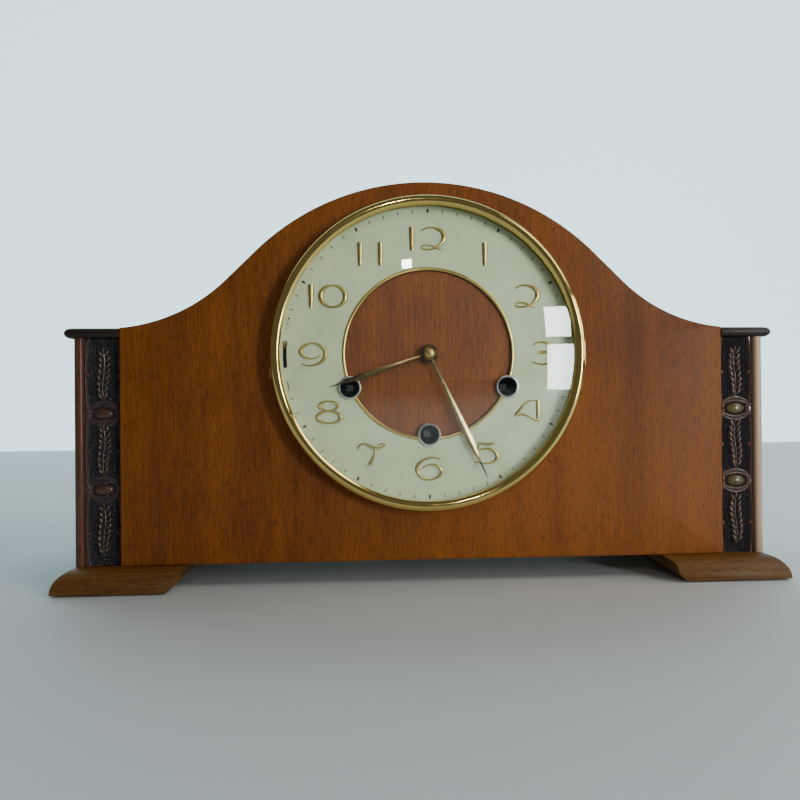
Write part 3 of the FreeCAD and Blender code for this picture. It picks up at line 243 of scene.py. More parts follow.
camera = bpy.data.objects.new("camera", bpy.data.cameras.new("camera"))
camera.data.sensor_width = 36
camera.data.lens = 31.09
camera.data.clip_start = 0.01
camera.matrix_world = placed(right, up, -ahead, CAMERA_PLACE)
bpy.context.scene.collection.objects.link(camera)
bpy.context.scene.camera = camera

# %% [markdown]
# ## Finishes
#
# A finish is a small network of nodes. We write one helper that adds a node and links or sets its sockets, and
# then each finish reads almost like a recipe. The patterns use Object coordinates, which are metres in the clock's
# own frame, so a grain of a given width is the same on every board.


# %% A helper that builds node networks
class Finish:
    """A material on a Principled shader, with a short way to add nodes."""

    def __init__(self, name, **sockets):
        self.material = bpy.data.materials.new(name)
        self.material.use_nodes = True
        self.tree = self.material.node_tree
        self.shader = self.tree.nodes["Principled BSDF"]
        self.place = self.add("ShaderNodeTexCoord").outputs["Object"]
        for socket, value in sockets.items():
            self.put(self.shader, socket.replace("_", " "), value)

    def put(self, node, socket, value):
        """Links value if it is another node's socket, or else sets it."""
        target = node.inputs[socket]
        if isinstance(value, bpy.types.NodeSocket):
            self.tree.links.new(value, target)
        else:
            target.default_value = (*value, 1.0) if target.type == "RGBA" and len(value) == 3 else value

    def add(self, kind, settings=None, **sockets):
        node = self.tree.nodes.new(kind)
        for key, value in (settings or {}).items():
            setattr(node, key, value)
        for socket, value in sockets.items():
            self.put(node, int(socket[1:]) if socket[0] == "i" and socket[1:].isdigit() else socket, value)
        return node

    def along(self, axis):
        """The coordinate along "X", "Y" or "Z"."""
        return self.add("ShaderNodeSeparateXYZ", Vector=self.place).outputs[axis]

    def own_values(self):
        """The number that a piece keeps at each of its points."""
        return self.add("ShaderNodeAttribute", {"attribute_name": "finish"}).outputs["Fac"]

    def stretched(self, scale):
        """Object coordinates squeezed by a factor along each axis."""
        return self.add("ShaderNodeMapping", Vector=self.place, Scale=scale).outputs["Vector"]

    def noise(self, vector, scale, detail=3.0, distortion=0.0):
        node = self.add("ShaderNodeTexNoise", Vector=vector, Scale=scale, Detail=detail, Distortion=distortion)
        return node.outputs["Fac"]

    def remap(self, value, low, high, to_low=0.0, to_high=1.0, curve="LINEAR"):
        sockets = {"Value": value, "From Min": low, "From Max": high, "To Min": to_low, "To Max": to_high}
        return self.add("ShaderNodeMapRange", {"interpolation_type": curve}, **sockets).outputs["Result"]

    def mix(self, factor, first, second):
        node = self.add("ShaderNodeMix", {"data_type": "RGBA"}, Factor=factor, i6=first, i7=second)
        return node.outputs[2]

    def math(self, operation, first, second=0.0):
        return self.add("ShaderNodeMath", {"operation": operation}, i0=first, i1=second).outputs[0]

    def bump(self, height, strength, distance):
        node = self.add("ShaderNodeBump", Height=height, Strength=strength, Distance=distance)
        self.put(self.shader, "Normal", node.outputs["Normal"])

    def done(self, base, roughness):
        self.put(self.shader, "Base Color", base)
        self.put(self.shader, "Roughness", roughness)
        return self.material


# %% [markdown]
# ## Room and light
#
# A pale floor, a softly glowing pale wall and a dim sky give light from everywhere. Daylight comes from the right:
# two wide lamps, high and low, and two tall panes. A small lamp stands high in front. A domed glass mirrors
# whatever is in front of it, so the place of each lamp decides where its reflection sits. For a mirror, the lamp
# lies along the sight line after it bounces off the glass. That is how the two panes come to shine near the right
# edge of the glass, while the wide lamps stand too far to the side to be mirrored at all.
#
# A far floor and sky as pale as the near floor would lay a veil on the glass. So both are dim to the clock, and a
# glow that only direct sight picks up makes them pale to the lens.


# %% Floor and wall
def stage_board(name, corners, material):
    """One flat face that isn't part of the clock."""
    mesh = bpy.data.meshes.new(name)
    mesh.from_pydata(corners, [], [[0, 1, 2, 3]])
    mesh.materials.append(material)
    board = bpy.data.objects.new(name, mesh)
    bpy.context.scene.collection.objects.link(board)


ROOM_HALF, ROOM_HEIGHT, FLOOR_FRONT, WALL_Y = 3.0, 3.0, -3.0, 1.15
NEAR_FLOOR, FAR_FLOOR, FAR_FLOOR_GLOW = (0.60, 0.62, 0.62), (0.14, 0.15, 0.15), (0.36, 0.42, 0.43)
WALL_COLOUR, WALL_GLOW, MATT = (0.60, 0.84, 0.90), 1.9, 0.7

floor_paint = Finish("floor", Emission_Color=FAR_FLOOR_GLOW)
far = floor_paint.remap(floor_paint.along("Y"), -0.4, -1.3, curve="SMOOTHSTEP")
in_sight = floor_paint.add("ShaderNodeLightPath").outputs["Is Camera Ray"]
floor_paint.put(floor_paint.shader, "Emission Strength", floor_paint.math("MULTIPLY", in_sight, far))
stage_board("floor", [(-ROOM_HALF, FLOOR_FRONT, 0), (ROOM_HALF, FLOOR_FRONT, 0), (ROOM_HALF, WALL_Y, 0),
                      (-ROOM_HALF, WALL_Y, 0)], floor_paint.done(floor_paint.mix(far, NEAR_FLOOR, FAR_FLOOR), MATT))

wall_paint = Finish("wall", Emission_Color=WALL_COLOUR, Emission_Strength=WALL_GLOW)
stage_board("wall", [(-ROOM_HALF, WALL_Y, 0), (ROOM_HALF, WALL_Y, 0), (ROOM_HALF, WALL_Y, ROOM_HEIGHT),
                     (-ROOM_HALF, WALL_Y, ROOM_HEIGHT)], wall_paint.done(WALL_COLOUR, MATT))


# %% Lamps
def mirrored_direction(spot):
    """The point at spot = (x, z) on the domed glass, and the direction in which a lamp shows there."""
    reach = math.hypot(spot[0] - DIAL_X, spot[1] - DIAL_Z)
    touch = np.array([spot[0], GLASS_MIDDLE[1] - math.sqrt(GLASS_RADIUS ** 2 - reach ** 2), spot[1]])
    normal = (touch - GLASS_MIDDLE) / GLASS_RADIUS
    sight = (touch - CAMERA_PLACE) / np.linalg.norm(touch - CAMERA_PLACE)
    return touch, sight - 2 * np.dot(sight, normal) * normal


def area_lamp(name, middle, target, size, watts, colour):
    """A flat lamp of size (width, height) that looks from middle at target."""
    back = (middle - target) / np.linalg.norm(middle - target)
    side = np.cross([0, 0, 1], back)
    side /= np.linalg.norm(side)
    lamp = bpy.data.lights.new(name, "AREA")
    lamp.shape = "RECTANGLE"
    lamp.size, lamp.size_y = size
    lamp.energy = watts
    lamp.color = colour
    holder = bpy.data.objects.new(name, lamp)
    holder.matrix_world = placed(side, np.cross(back, side), back, middle)
    bpy.context.scene.collection.objects.link(holder)
    print("%s: %.2f x %.2f m, %.1f W" % (name, *size, watts))


def lamp_at_reflection(name, low_left, high_right, distance, watts, colour):
    """A lamp whose image in the glass spans the box low_left to high_right, in mm from the dial's centre."""
    corners = []
    for x, z in ((low_left[0], low_left[1]), (high_right[0], low_left[1]), (high_right[0], high_right[1])):
        touch, heading = mirrored_direction((DIAL_X + x * MM, DIAL_Z + z * MM))
        corners.append(touch + heading * distance)
    near, far, top = corners
    size = (np.linalg.norm(far - near), np.linalg.norm(top - far))
    area_lamp(name, (near + top) / 2, np.array([DIAL_X, glass_low.y, DIAL_Z]), size, watts, colour)


def wide_lamp(name, azimuth, elevation, distance, size, watts, colour):
    """A square lamp that looks at the dial. Azimuth is in degrees from straight in front towards the right."""
    turn, lift = math.radians(azimuth), math.radians(elevation)
    heading = np.array([math.sin(turn) * math.cos(lift), -math.cos(turn) * math.cos(lift), math.sin(lift)])
    target = np.array([DIAL_X, 0, DIAL_Z])
    area_lamp(name, target + heading * distance, target, (size, size), watts, colour)


COOL_LIGHT, WARM_LIGHT = (0.90, 0.97, 1.0), (1.0, 0.97, 0.92)
wide_lamp("high_window", 62, 38, 1.5, 0.7, 6.0, WARM_LIGHT)
wide_lamp("side_window", 88, 12, 1.2, 0.45, 4.0, WARM_LIGHT)
lamp_at_reflection("upper_pane", (65, 9), (80, 26), 1.6, 4.6, COOL_LIGHT)
lamp_at_reflection("lower_pane", (66, -23), (82, 5), 1.6, 7.4, COOL_LIGHT)
lamp_at_reflection("small_lamp", (-15.5, 46.5), (-10, 51.5), 1.8, 2.0, WARM_LIGHT)

# %% Sky: dim to the clock, pale to the lens
world = bpy.data.worlds.new("pale sky")
world.use_nodes = True
nodes, links = world.node_tree.nodes, world.node_tree.links
dim, pale = nodes["Background"], nodes.new("ShaderNodeBackground")
for background, colour, strength in ((dim, (0.84, 0.88, 0.90, 1), 0.13), (pale, (0.84, 0.90, 0.92, 1), 1.0)):
    background.inputs["Color"].default_value = colour
    background.inputs["Strength"].default_value = strength
chosen = nodes.new("ShaderNodeMixShader")
links.new(nodes.new("ShaderNodeLightPath").outputs["Is Camera Ray"], chosen.inputs[0])
links.new(dim.outputs[0], chosen.inputs[1])
links.new(pale.outputs[0], chosen.inputs[2])
links.new(chosen.outputs[0], nodes["World Output"].inputs["Surface"])
bpy.context.scene.world = world

# %% [markdown]
# ### Veneer and solid wood
#
# Sapele veneer shows three things at once: broad ribbons that run with the grain, fine streaks a millimetre or so
# wide, and short dark pores. Each is noise stretched along the grain, and each has its own scale. A thin lacquer
# is a coat over all of it. The same recipe, turned and tinted, gives every other wood on the clock.


# %% Wood recipe
RIBBON_SCALE, STREAK_SCALE, PORE_SCALE, CLOUD_SCALE = 62, 950, 1500, 9
PORE_DEPTH = 0.55


def wood(name, light, dark, grain_axis="Z", lacquer=0.05, lacquer_roughness=0.35, ribbon=0.60, roughness=0.55,
         painted_light_front=None):
    """Wood whose grain runs along one axis: ribbons 15 mm wide, streaks 1 mm wide and pores under a millimetre.

    painted_light_front is (colour, y where it starts, y where it is full): a painted highlight that makes
    a rounded front edge paler, standing in for the light that edge catches.
    """
    finish = Finish(name, Coat_Weight=lacquer, Coat_Roughness=lacquer_roughness, Specular_IOR_Level=0.2)
    along = {"X": (0.05, 1, 1), "Y": (1, 0.05, 1), "Z": (1, 1, 0.05)}[grain_axis]
    fine_along = tuple(0.12 if v < 1 else v for v in along)
    vector = finish.stretched(along)
    ribbons = finish.remap(finish.noise(vector, RIBBON_SCALE, 2.0, 0.4), 0.32, 0.68)
    streaks = finish.remap(finish.noise(vector, STREAK_SCALE, 3.0, 0.2), 0.3, 0.7)
    pores = finish.remap(finish.noise(finish.stretched(fine_along), PORE_SCALE, 2.0), 0.55, 0.66)
    cloud = finish.remap(finish.noise(finish.place, CLOUD_SCALE, 2.0), 0.35, 0.65)
    tone = finish.math("ADD", finish.math("MULTIPLY", ribbons, ribbon * 0.5), finish.math("MULTIPLY", streaks, 0.44))
    tone = finish.math("ADD", tone, finish.math("MULTIPLY", cloud, 0.34))
    body = finish.mix(finish.remap(tone, 0.1, 0.85), dark, light)
    flecked = finish.mix(finish.math("MULTIPLY", pores, PORE_DEPTH), body, tuple(v * 0.35 for v in dark))
    # Painted light: the colour turns paler towards the front edge, more on the lighter streaks of the grain.
    if painted_light_front:
        colour, start, full = painted_light_front
        depth = finish.remap(finish.along("Y"), start, full)
        wear_and_painted_light = finish.math("MULTIPLY", depth, finish.remap(tone, 0.1, 0.6, 0.55, 1.0))
        flecked = finish.mix(wear_and_painted_light, flecked, colour)
    finish.bump(finish.math("SUBTRACT", streaks, pores), 0.12, 0.00012)
    return finish.done(flecked, finish.remap(streaks, 0, 1, roughness - 0.06, roughness + 0.08))


panel_veneer = wood("panel_veneer", (0.275, 0.078, 0.0065), (0.125, 0.030, 0.0025))
top_veneer = wood("top_veneer", (0.20, 0.052, 0.010), (0.09, 0.021, 0.004), grain_axis="X")
SIDE_TONES = (0.150, 0.050, 0.025), (0.060, 0.019, 0.010)
side_wood = wood("side_wood", *SIDE_TONES, lacquer=0.45, lacquer_roughness=0.16)
# Right board's copy: its front edge is painted paler, a painted highlight for the light from the right.
side_wood_painted_light = wood("side_wood_painted_light", *SIDE_TONES, lacquer=0.45, lacquer_roughness=0.16,
                        painted_light_front=((0.56, 0.37, 0.25), -56.5 * MM, -60.5 * MM))
cap_wood = wood("cap_wood", (0.026, 0.012, 0.007), (0.010, 0.005, 0.003), grain_axis="X", lacquer=0.3)
foot_wood_finish = wood("foot_wood_finish", (0.175, 0.074, 0.012), (0.062, 0.023, 0.005), grain_axis="X",
                        ribbon=0.7, lacquer=0.12)
dial_veneer_finish = wood("dial_veneer_finish", (0.205, 0.058, 0.004), (0.085, 0.020, 0.0015))
plywood = wood("plywood", (0.36, 0.21, 0.10), (0.20, 0.105, 0.045), lacquer=0.0, ribbon=0.4, roughness=0.62)
floor_ply = wood("floor_ply", (0.34, 0.20, 0.10), (0.19, 0.10, 0.045), grain_axis="X", lacquer=0.0, roughness=0.65)


# %% [markdown]
# ### Metals, enamel, felt, iron and glass
#
# Polished brass is almost a mirror, but a real one has soft wiping marks and a slightly uneven colour. Movement
# plates are satin. The dial's ring is a pale silvered enamel with a hint of green, matte enough to show no
# reflections. The glass lets the lamps through, so the piece itself casts no shadow.


# %% Other recipes
def metal(name, colour, roughness, tarnish=0.12):
    """Metal with soft wiping marks in its gloss and a slow drift towards a darker colour."""
    finish = Finish(name, Metallic=1.0)
    drift = finish.remap(finish.noise(finish.place, 45, 3.0), 0.4, 0.75)
    marks = finish.noise(finish.stretched((1, 1, 0.15)), 160, 4.0)
    base = finish.mix(finish.math("MULTIPLY", drift, tarnish * 4), colour, tuple(v * 0.62 for v in colour))
    finish.bump(finish.noise(finish.place, 900, 2.0), 0.04, 0.00005)
    return finish.done(base, finish.remap(marks, 0.3, 0.7, roughness * 0.7, roughness * 1.4))


polished_brass = metal("polished_brass", (0.80, 0.59, 0.18), 0.10, tarnish=0.08)
gilt_finish = metal("gilt_finish", (0.76, 0.54, 0.19), 0.22, tarnish=0.05)
satin_brass = metal("satin_brass", (0.70, 0.49, 0.19), 0.34)
nickel_finish = metal("nickel_finish", (0.72, 0.70, 0.66), 0.18, tarnish=0.03)
steel_finish = metal("steel_finish", (0.45, 0.45, 0.46), 0.30, tarnish=0.05)
# Near-black steel: painted shade for the dial plate, which shows only deep inside the winding holes.
painted_shade_steel = metal("painted_shade_steel", (0.012, 0.011, 0.011), 0.5, tarnish=0.05)


def arbor_painted_shade_and_highlight_finish():
    """Black ratchet and arbor, painted shade for the inside of the winding holes; only the file-marked end of the
    winding square is a lighter grey, a painted highlight.
    """
    finish = Finish("arbor_painted_shade_and_highlight_finish", Metallic=1.0)
    # Painted highlight: the end of the square, nearest the dial, is lighter.
    painted_highlight_end = finish.remap(finish.along("Y"), -51.5 * MM, -52.5 * MM)
    file_marks = finish.remap(finish.noise(finish.stretched((1, 1, 0.2)), 1800, 3.0), 0.35, 0.65)
    steel = finish.mix(file_marks, (0.10, 0.10, 0.10), (0.26, 0.25, 0.24))
    base = finish.mix(painted_highlight_end, finish.mix(file_marks, (0.008, 0.007, 0.007), (0.018, 0.015, 0.014)), steel)
    return finish.done(base, finish.remap(file_marks, 0, 1, 0.32, 0.45))


def gilding_with_painted_edge_shade():
    """Gilt along the middle of a stroke and dark bronze along its edges: painted shade and a painted dark reflection
    on the rounded sides.
    """
    finish = Finish("gilding_with_painted_edge_shade", Metallic=1.0)
    wear_and_painted_light = finish.remap(finish.noise(finish.place, 500, 3.0), 0.3, 0.7, -0.08, 0.08)
    # Painted shade: the edge share, jittered by noise, turns the colour dark towards both sides of a stroke.
    edge = finish.remap(finish.math("ADD", finish.own_values(), wear_and_painted_light), 0.52, 0.86)
    base = finish.mix(edge, (0.88, 0.64, 0.18), (0.10, 0.068, 0.020))
    return finish.done(base, finish.remap(edge, 0, 1, 0.2, 0.42))


def cast_iron_finish():
    """Grainy cast iron: two sizes of lumps in its surface."""
    finish = Finish("cast_iron_finish", Metallic=0.6)
    lumps = finish.noise(finish.place, 700, 5.0)
    base = finish.mix(lumps, (0.025, 0.025, 0.028), (0.075, 0.072, 0.070))
    finish.bump(lumps, 0.5, 0.0003)
    return finish.done(base, finish.remap(lumps, 0.3, 0.7, 0.5, 0.8))


def felt_finish():
    """Felt: fine fibres as noise, with sheen on the nap."""
    finish = Finish("felt_finish", Sheen_Weight=0.5, Sheen_Roughness=0.5)
    fibres = finish.noise(finish.place, 2600, 6.0)
    base = finish.mix(fibres, (0.012, 0.045, 0.020), (0.035, 0.10, 0.045))
    finish.bump(fibres, 0.6, 0.0002)
    return finish.done(base, 0.95)


def dial_enamel():
    """Silvered enamel: pale grey-green with a very fine vertical brushing and faint mottling."""
    finish = Finish("dial_enamel", Coat_Weight=0.08, Coat_Roughness=0.35)
    brushing = finish.noise(finish.stretched((1, 1, 0.08)), 1400, 3.0)
    mottle = finish.remap(finish.noise(finish.place, 60, 4.0), 0.35, 0.65)
    base = finish.mix(mottle, (0.37, 0.435, 0.25), (0.43, 0.49, 0.30))
    base = finish.mix(finish.remap(brushing, 0.35, 0.65, 0.0, 0.35), base, (0.335, 0.39, 0.225))
    finish.bump(brushing, 0.05, 0.00005)
    return finish.done(base, finish.remap(mottle, 0, 1, 0.42, 0.52))


def black_paint():
    """Printed black: matte ink, a little uneven in its darkness."""
    finish = Finish("black_paint")
    grain = finish.noise(finish.place, 2200, 3.0)
    return finish.done(finish.mix(grain, (0.008, 0.008, 0.008), (0.022, 0.021, 0.019)), 0.6)


def clear_glass_finish():
    """Clear, faintly green glass. Its specular level is low, so that a bright room doesn't veil the dial."""
    finish = Finish("clear_glass_finish", Transmission_Weight=1.0, IOR=1.5, Specular_IOR_Level=0.22)
    return finish.done((0.985, 1.0, 0.992), 0.0)


iron_finish = cast_iron_finish()
arbor_painted_shade_and_highlight = arbor_painted_shade_and_highlight_finish()
gilding = gilding_with_painted_edge_shade()
felt_green = felt_finish()
enamel = dial_enamel()
ink = black_paint()
glass_finish = clear_glass_finish()

# %% [markdown]
# ## Smoothing the CAD parts that stay
#
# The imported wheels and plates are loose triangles, so a round barrel would look like a prism. A small geometry
# network welds them, shades them smooth and keeps edges of more than 30 degrees sharp. It is a modifier, so the
# CAD mesh itself isn't touched.


# %% A weld-and-smooth modifier for CAD nodes
def smoothing_network():
    group = bpy.data.node_groups.new("weld_and_smooth", "GeometryNodeTree")
    group.interface.new_socket("Geometry", in_out="INPUT", socket_type="NodeSocketGeometry")
    group.interface.new_socket("Geometry", in_out="OUTPUT", socket_type="NodeSocketGeometry")
    nodes, links = group.nodes, group.links
    source, result = nodes.new("NodeGroupInput"), nodes.new("NodeGroupOutput")
    weld = nodes.new("GeometryNodeMergeByDistance")
    weld.inputs["Distance"].default_value = 2e-7
    smooth = nodes.new("GeometryNodeSetShadeSmooth")
    edges = nodes.new("GeometryNodeSetShadeSmooth")
    edges.domain = "EDGE"
    angle = nodes.new("GeometryNodeInputMeshEdgeAngle")
    gentle = nodes.new("FunctionNodeCompare")
    gentle.operation = "LESS_EQUAL"
    gentle.inputs["B"].default_value = math.radians(30)
    links.new(source.outputs[0], weld.inputs["Geometry"])
    links.new(weld.outputs["Geometry"], smooth.inputs["Geometry"])
    links.new(smooth.outputs["Geometry"], edges.inputs["Geometry"])
    links.new(angle.outputs["Unsigned Angle"], gentle.inputs["A"])
    links.new(gentle.outputs["Result"], edges.inputs["Shade Smooth"])
    links.new(edges.outputs["Geometry"], result.inputs[0])
    return group


weld_and_smooth = smoothing_network()

CAD_FINISHES = {
    satin_brass: ["front_plate", "back_plate", "plate_pillars", "going_barrel", "strike_barrel", "chime_barrel",
                  "second_wheel", "centre_wheel", "third_wheel", "escape_wheel", "minute_wheel", "hour_wheel",
                  "chime_drum", "suspension_cock", "pendulum", "chime_hammer_1", "chime_hammer_2",
                  "chime_hammer_3", "chime_hammer_4", "silent_lever"],
    polished_brass: ["bezel_hinge_pin", "bezel_seat_ring", "door_hinge_leaves", "case_hinge_leaves"],
    steel_finish: ["cannon_pinion", "pallets", "gong_rods", "movement_brackets", "strike_click", "going_click",
                   "chime_click"],
    # The dial plate is painted near-black, as the shade inside the winding holes.
    painted_shade_steel: ["dial_plate"],
    arbor_painted_shade_and_highlight: ["strike_winding_arbor", "going_winding_arbor", "chime_winding_arbor"],
    iron_finish: ["gong_block"],
    plywood: ["back_board", "back_door"],
    floor_ply: ["base_board"],
    felt_green: ["foot_pads"],
    enamel: ["chapter_ring"],
    dial_veneer_finish: ["dial_centre"],
}
for material, names in CAD_FINISHES.items():
    for name in names:
        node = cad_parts[name]
        node.data.materials.clear()
        node.data.materials.append(material)
        node.modifiers.new("weld_and_smooth", "NODES").node_group = weld_and_smooth
print("CAD nodes that keep their own shape:", sum(len(names) for names in CAD_FINISHES.values()))

# %% [markdown]
# ## The front panel
#
# The panel is one board with an ogee outline: a crown arc, a short straight slope and a hollow cove on each side,
# then straight down to the base. A round hole takes the dial. Rows of points run from the hole to the outline and
# over a small rounded edge to the back, and columns run round the board, so the whole board is one closed grid.

# %% The outline of the arch
CROWN_RADIUS = 139.4 * MM
SLOPE = math.radians(44.3)
SLOPE_LENGTH = 24.0 * MM
SHOULDER_Z = 146.7 * MM
PANEL_HALF = panel_high.x
HOLE_RADIUS = 82.5 * MM


def arch_curve(inset=0.0, crown_steps=72, cove_steps=28):
    """Points (x, z) from the left shoulder over the crown to the right shoulder, moved inwards by inset.

    The crown is a circle that ends where its slope reaches SLOPE. The straight follows on. The cove is the circle
    that leaves the straight without a kink and passes through the shoulder.
    """
    normal = np.array([math.sin(SLOPE), math.cos(SLOPE)])
    crown_middle = np.array([0.0, panel_high.z - CROWN_RADIUS])
    slope_end = crown_middle + CROWN_RADIUS * normal + SLOPE_LENGTH * np.array([normal[1], -normal[0]])
    reach = np.array([PANEL_HALF, SHOULDER_Z]) - slope_end
    cove_radius = reach @ reach / (2 * reach @ normal)
    cove_middle = slope_end + cove_radius * normal
    crown_angle = np.linspace(0, SLOPE, crown_steps)
    crown = crown_middle + (CROWN_RADIUS - inset) * np.stack([np.sin(crown_angle), np.cos(crown_angle)], axis=1)
    last = math.asin((cove_middle[0] - PANEL_HALF) / (cove_radius + inset))
    cove_angle = np.linspace(SLOPE, last, cove_steps)
    cove = cove_middle - (cove_radius + inset) * np.stack([np.sin(cove_angle), np.cos(cove_angle)], axis=1)
    half = np.concatenate([crown, cove])
    left = half[:0:-1] * [-1, 1]
    return np.concatenate([left, half])


def panel_outline():
    """The closed outline of the panel, clockwise from the left shoulder, with extra points on the straight sides."""
    arch = arch_curve()
    low = panel_low.z
    side = np.linspace(SHOULDER_Z, low, 40)[1:]
    right_side = np.stack([np.full_like(side, PANEL_HALF), side], axis=1)
    across = np.linspace(PANEL_HALF, -PANEL_HALF, 110)[1:]
    bottom = np.stack([across, np.full_like(across, low)], axis=1)
    left_side = (right_side * [-1, 1])[::-1][1:-1]
    return np.concatenate([arch, right_side, bottom, left_side])


def moved_in(outline, distance):
    """A closed clockwise outline moved inwards: each point goes along the mitre of its two edges' normals."""
    edge = np.roll(outline, -1, axis=0) - outline
    edge /= np.linalg.norm(edge, axis=1, keepdims=True)
    inward = np.stack([edge[:, 1], -edge[:, 0]], axis=1)
    before = np.roll(inward, 1, axis=0)
    share = 1 + np.sum(inward * before, axis=1, keepdims=True)
    return outline + (inward + before) / share * distance


def front_panel_shape(ease=0.9 * MM, ease_steps=5):
    """Rows from the hole over the face, then round an edge of radius ease: in by 1 - sin a, back by 1 - cos a."""
    outline = panel_outline()
    centre = np.array([DIAL_X, DIAL_Z])
    towards = outline - centre
    hole = centre + towards / np.linalg.norm(towards, axis=1, keepdims=True) * HOLE_RADIUS
    front, back = panel_low.y, panel_high.y
    rows = [(hole, back), (hole, front)]
    edge_line = moved_in(outline, ease)
    rows.append((hole * 0.5 + edge_line * 0.5, front))
    for angle in np.linspace(0, np.pi / 2, ease_steps):
        rows.append((moved_in(outline, ease * (1 - math.sin(angle))), front + ease * (1 - math.cos(angle))))
    rows.append((outline, back))
    points = np.stack([np.insert(line, 1, depth, axis=1) for line, depth in rows])
    return points, grid_faces(len(rows), len(outline), wrap_rows=True, wrap_columns=True)


# %% Make the panel and the bent top
make_piece("panel_board", front_panel_shape(), "case", "mahogany", panel_veneer, ["front_panel"])


def arch_top_shape():
    """A bent board: its section, a rounded rectangle, is carried along the arch."""
    low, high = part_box("arch_top")
    thick = 5.0 * MM
    section = softened([(0, low.y), (0, high.y), (thick, high.y), (thick, low.y)], 0.3 * MM)
    lines = np.stack([np.insert(arch_curve(inset), 1, depth, axis=1) for inset, depth in section])
    return capped(lines.transpose(1, 0, 2))


make_piece("bent_top", arch_top_shape(), "case", "mahogany", top_veneer, ["arch_top"])

# %% [markdown]
# ## Side boards and caps
#
# Each side board shows only its front edge, which is rounded and catches the light. A thin cap covers the end of
# the case: its front and outer edges are full rounds, like the edge of a ruler. Both are mirrored for the left.


# %% Boards and caps
def upright(plan, low, high):
    """A closed plan of (x, y) points carried straight up from low to high, with flat ends."""
    return capped(np.stack([np.insert(plan, 2, level, axis=1) for level in (low, high)]))


def side_board_shape():
    """A rectangle in plan, with its two front corners well rounded, carried straight up."""
    low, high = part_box("right_side_board")
    corners = [(low.x, low.y), (low.x, high.y), (high.x, high.y), (high.x, low.y)]
    return upright(softened(corners, [2.3 * MM, 0.2 * MM, 0.4 * MM, 2.3 * MM], 7), low.z, high.z)


def cap_shape(steps=9):
    """The plan of the cap moves in by a quarter of a circle at each level, which rounds its edge."""
    low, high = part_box("right_cap")
    half = (high.z - low.z) / 2
    middle = (high.z + low.z) / 2
    rows = []
    for angle in np.linspace(-np.pi / 2, np.pi / 2, steps):
        inset = half * (1 - math.cos(angle))
        corners = [(low.x, low.y + inset), (low.x, high.y - inset), (high.x - inset, high.y - inset),
                   (high.x - inset, low.y + inset)]
        plan = softened(corners, [0.1 * MM, 0.1 * MM, 3 * MM, 3 * MM], 6)
        rows.append(np.insert(plan, 2, middle + half * math.sin(angle), axis=1))
    return capped(np.stack(rows))


# The right board's front edge carries painted light; the left board, in shade, has none.
make_pair("board", side_board_shape(), "mahogany", "side_board", side_wood_painted_light, side_wood)
make_pair("cap_board", cap_shape(), "dark_wood", "cap", cap_wood)

# %% [markdown]
# ## Moulded feet
#
# Each foot is a block with a quarter-round on the front, the outer end and the back, mitred at the corners. Its
# inner end is an ogee: round above, hollow below. Every level of the block is a rectangle, so we stack
# rectangles whose sides move in by different amounts.


# %% Feet
def foot_shape(levels=22):
    """At an angle a of the quarter-round, the level rises by sin a and the sides move in by 1 - cos a."""
    low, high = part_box("right_foot")
    height, plinth = high.z - low.z, 0.6 * MM
    fillet = height - plinth
    angle = np.linspace(0, np.pi / 2, levels)
    z = np.concatenate([[low.z], low.z + plinth + fillet * np.sin(angle)])
    inset = np.concatenate([[0.0], fillet * (1 - np.cos(angle))])
    share = (z - low.z) / height
    inner_top, inner_bottom = low.x, low.x + 10.0 * MM
    ogee = inner_bottom + (inner_top - inner_bottom) * (share + 0.16 * np.sin(2 * np.pi * share))
    rows = []
    for level in range(len(z)):
        corners = [(ogee[level], low.y + inset[level]), (ogee[level], high.y - inset[level]),
                   (high.x - inset[level], high.y - inset[level]), (high.x - inset[level], low.y + inset[level])]
        rows.append(np.insert(softened(corners, 0.35 * MM, 3), 2, z[level], axis=1))
    return capped(np.stack(rows))


make_pair("foot_block", foot_shape(), "foot_wood", "foot", foot_wood_finish)

# %% [markdown]
# ## Carved strips
#
# The strips beside the panel are pressed to look carved. Each has three barrel-shaped panels with a leafy ear on a
# stippled ground, and an oval boss in a lens-shaped frame between them. Such low relief is a height map: a height
# for every point (u, v) of a fine grid, taken as the highest of many simple bumps. A second number says which
# finish shows there, and the material reads it.

# %% Height map of the carving
STRIP_WIDTH = strip_high.x - strip_low.x
STRIP_HEIGHT = strip_high.z - strip_low.z
BOSS_LEVELS = (42.4, 85.3)
EAR_SPANS = ((5.0, 33.5), (50.0, 78.0), (92.5, 121.0))
BEAD_LEVELS = (17.5, 64.0, 107.0)
GROUND, LEAF, RIDGE, BOSS, BEAD = 0.0, 0.25, 0.5, 0.75, 1.0


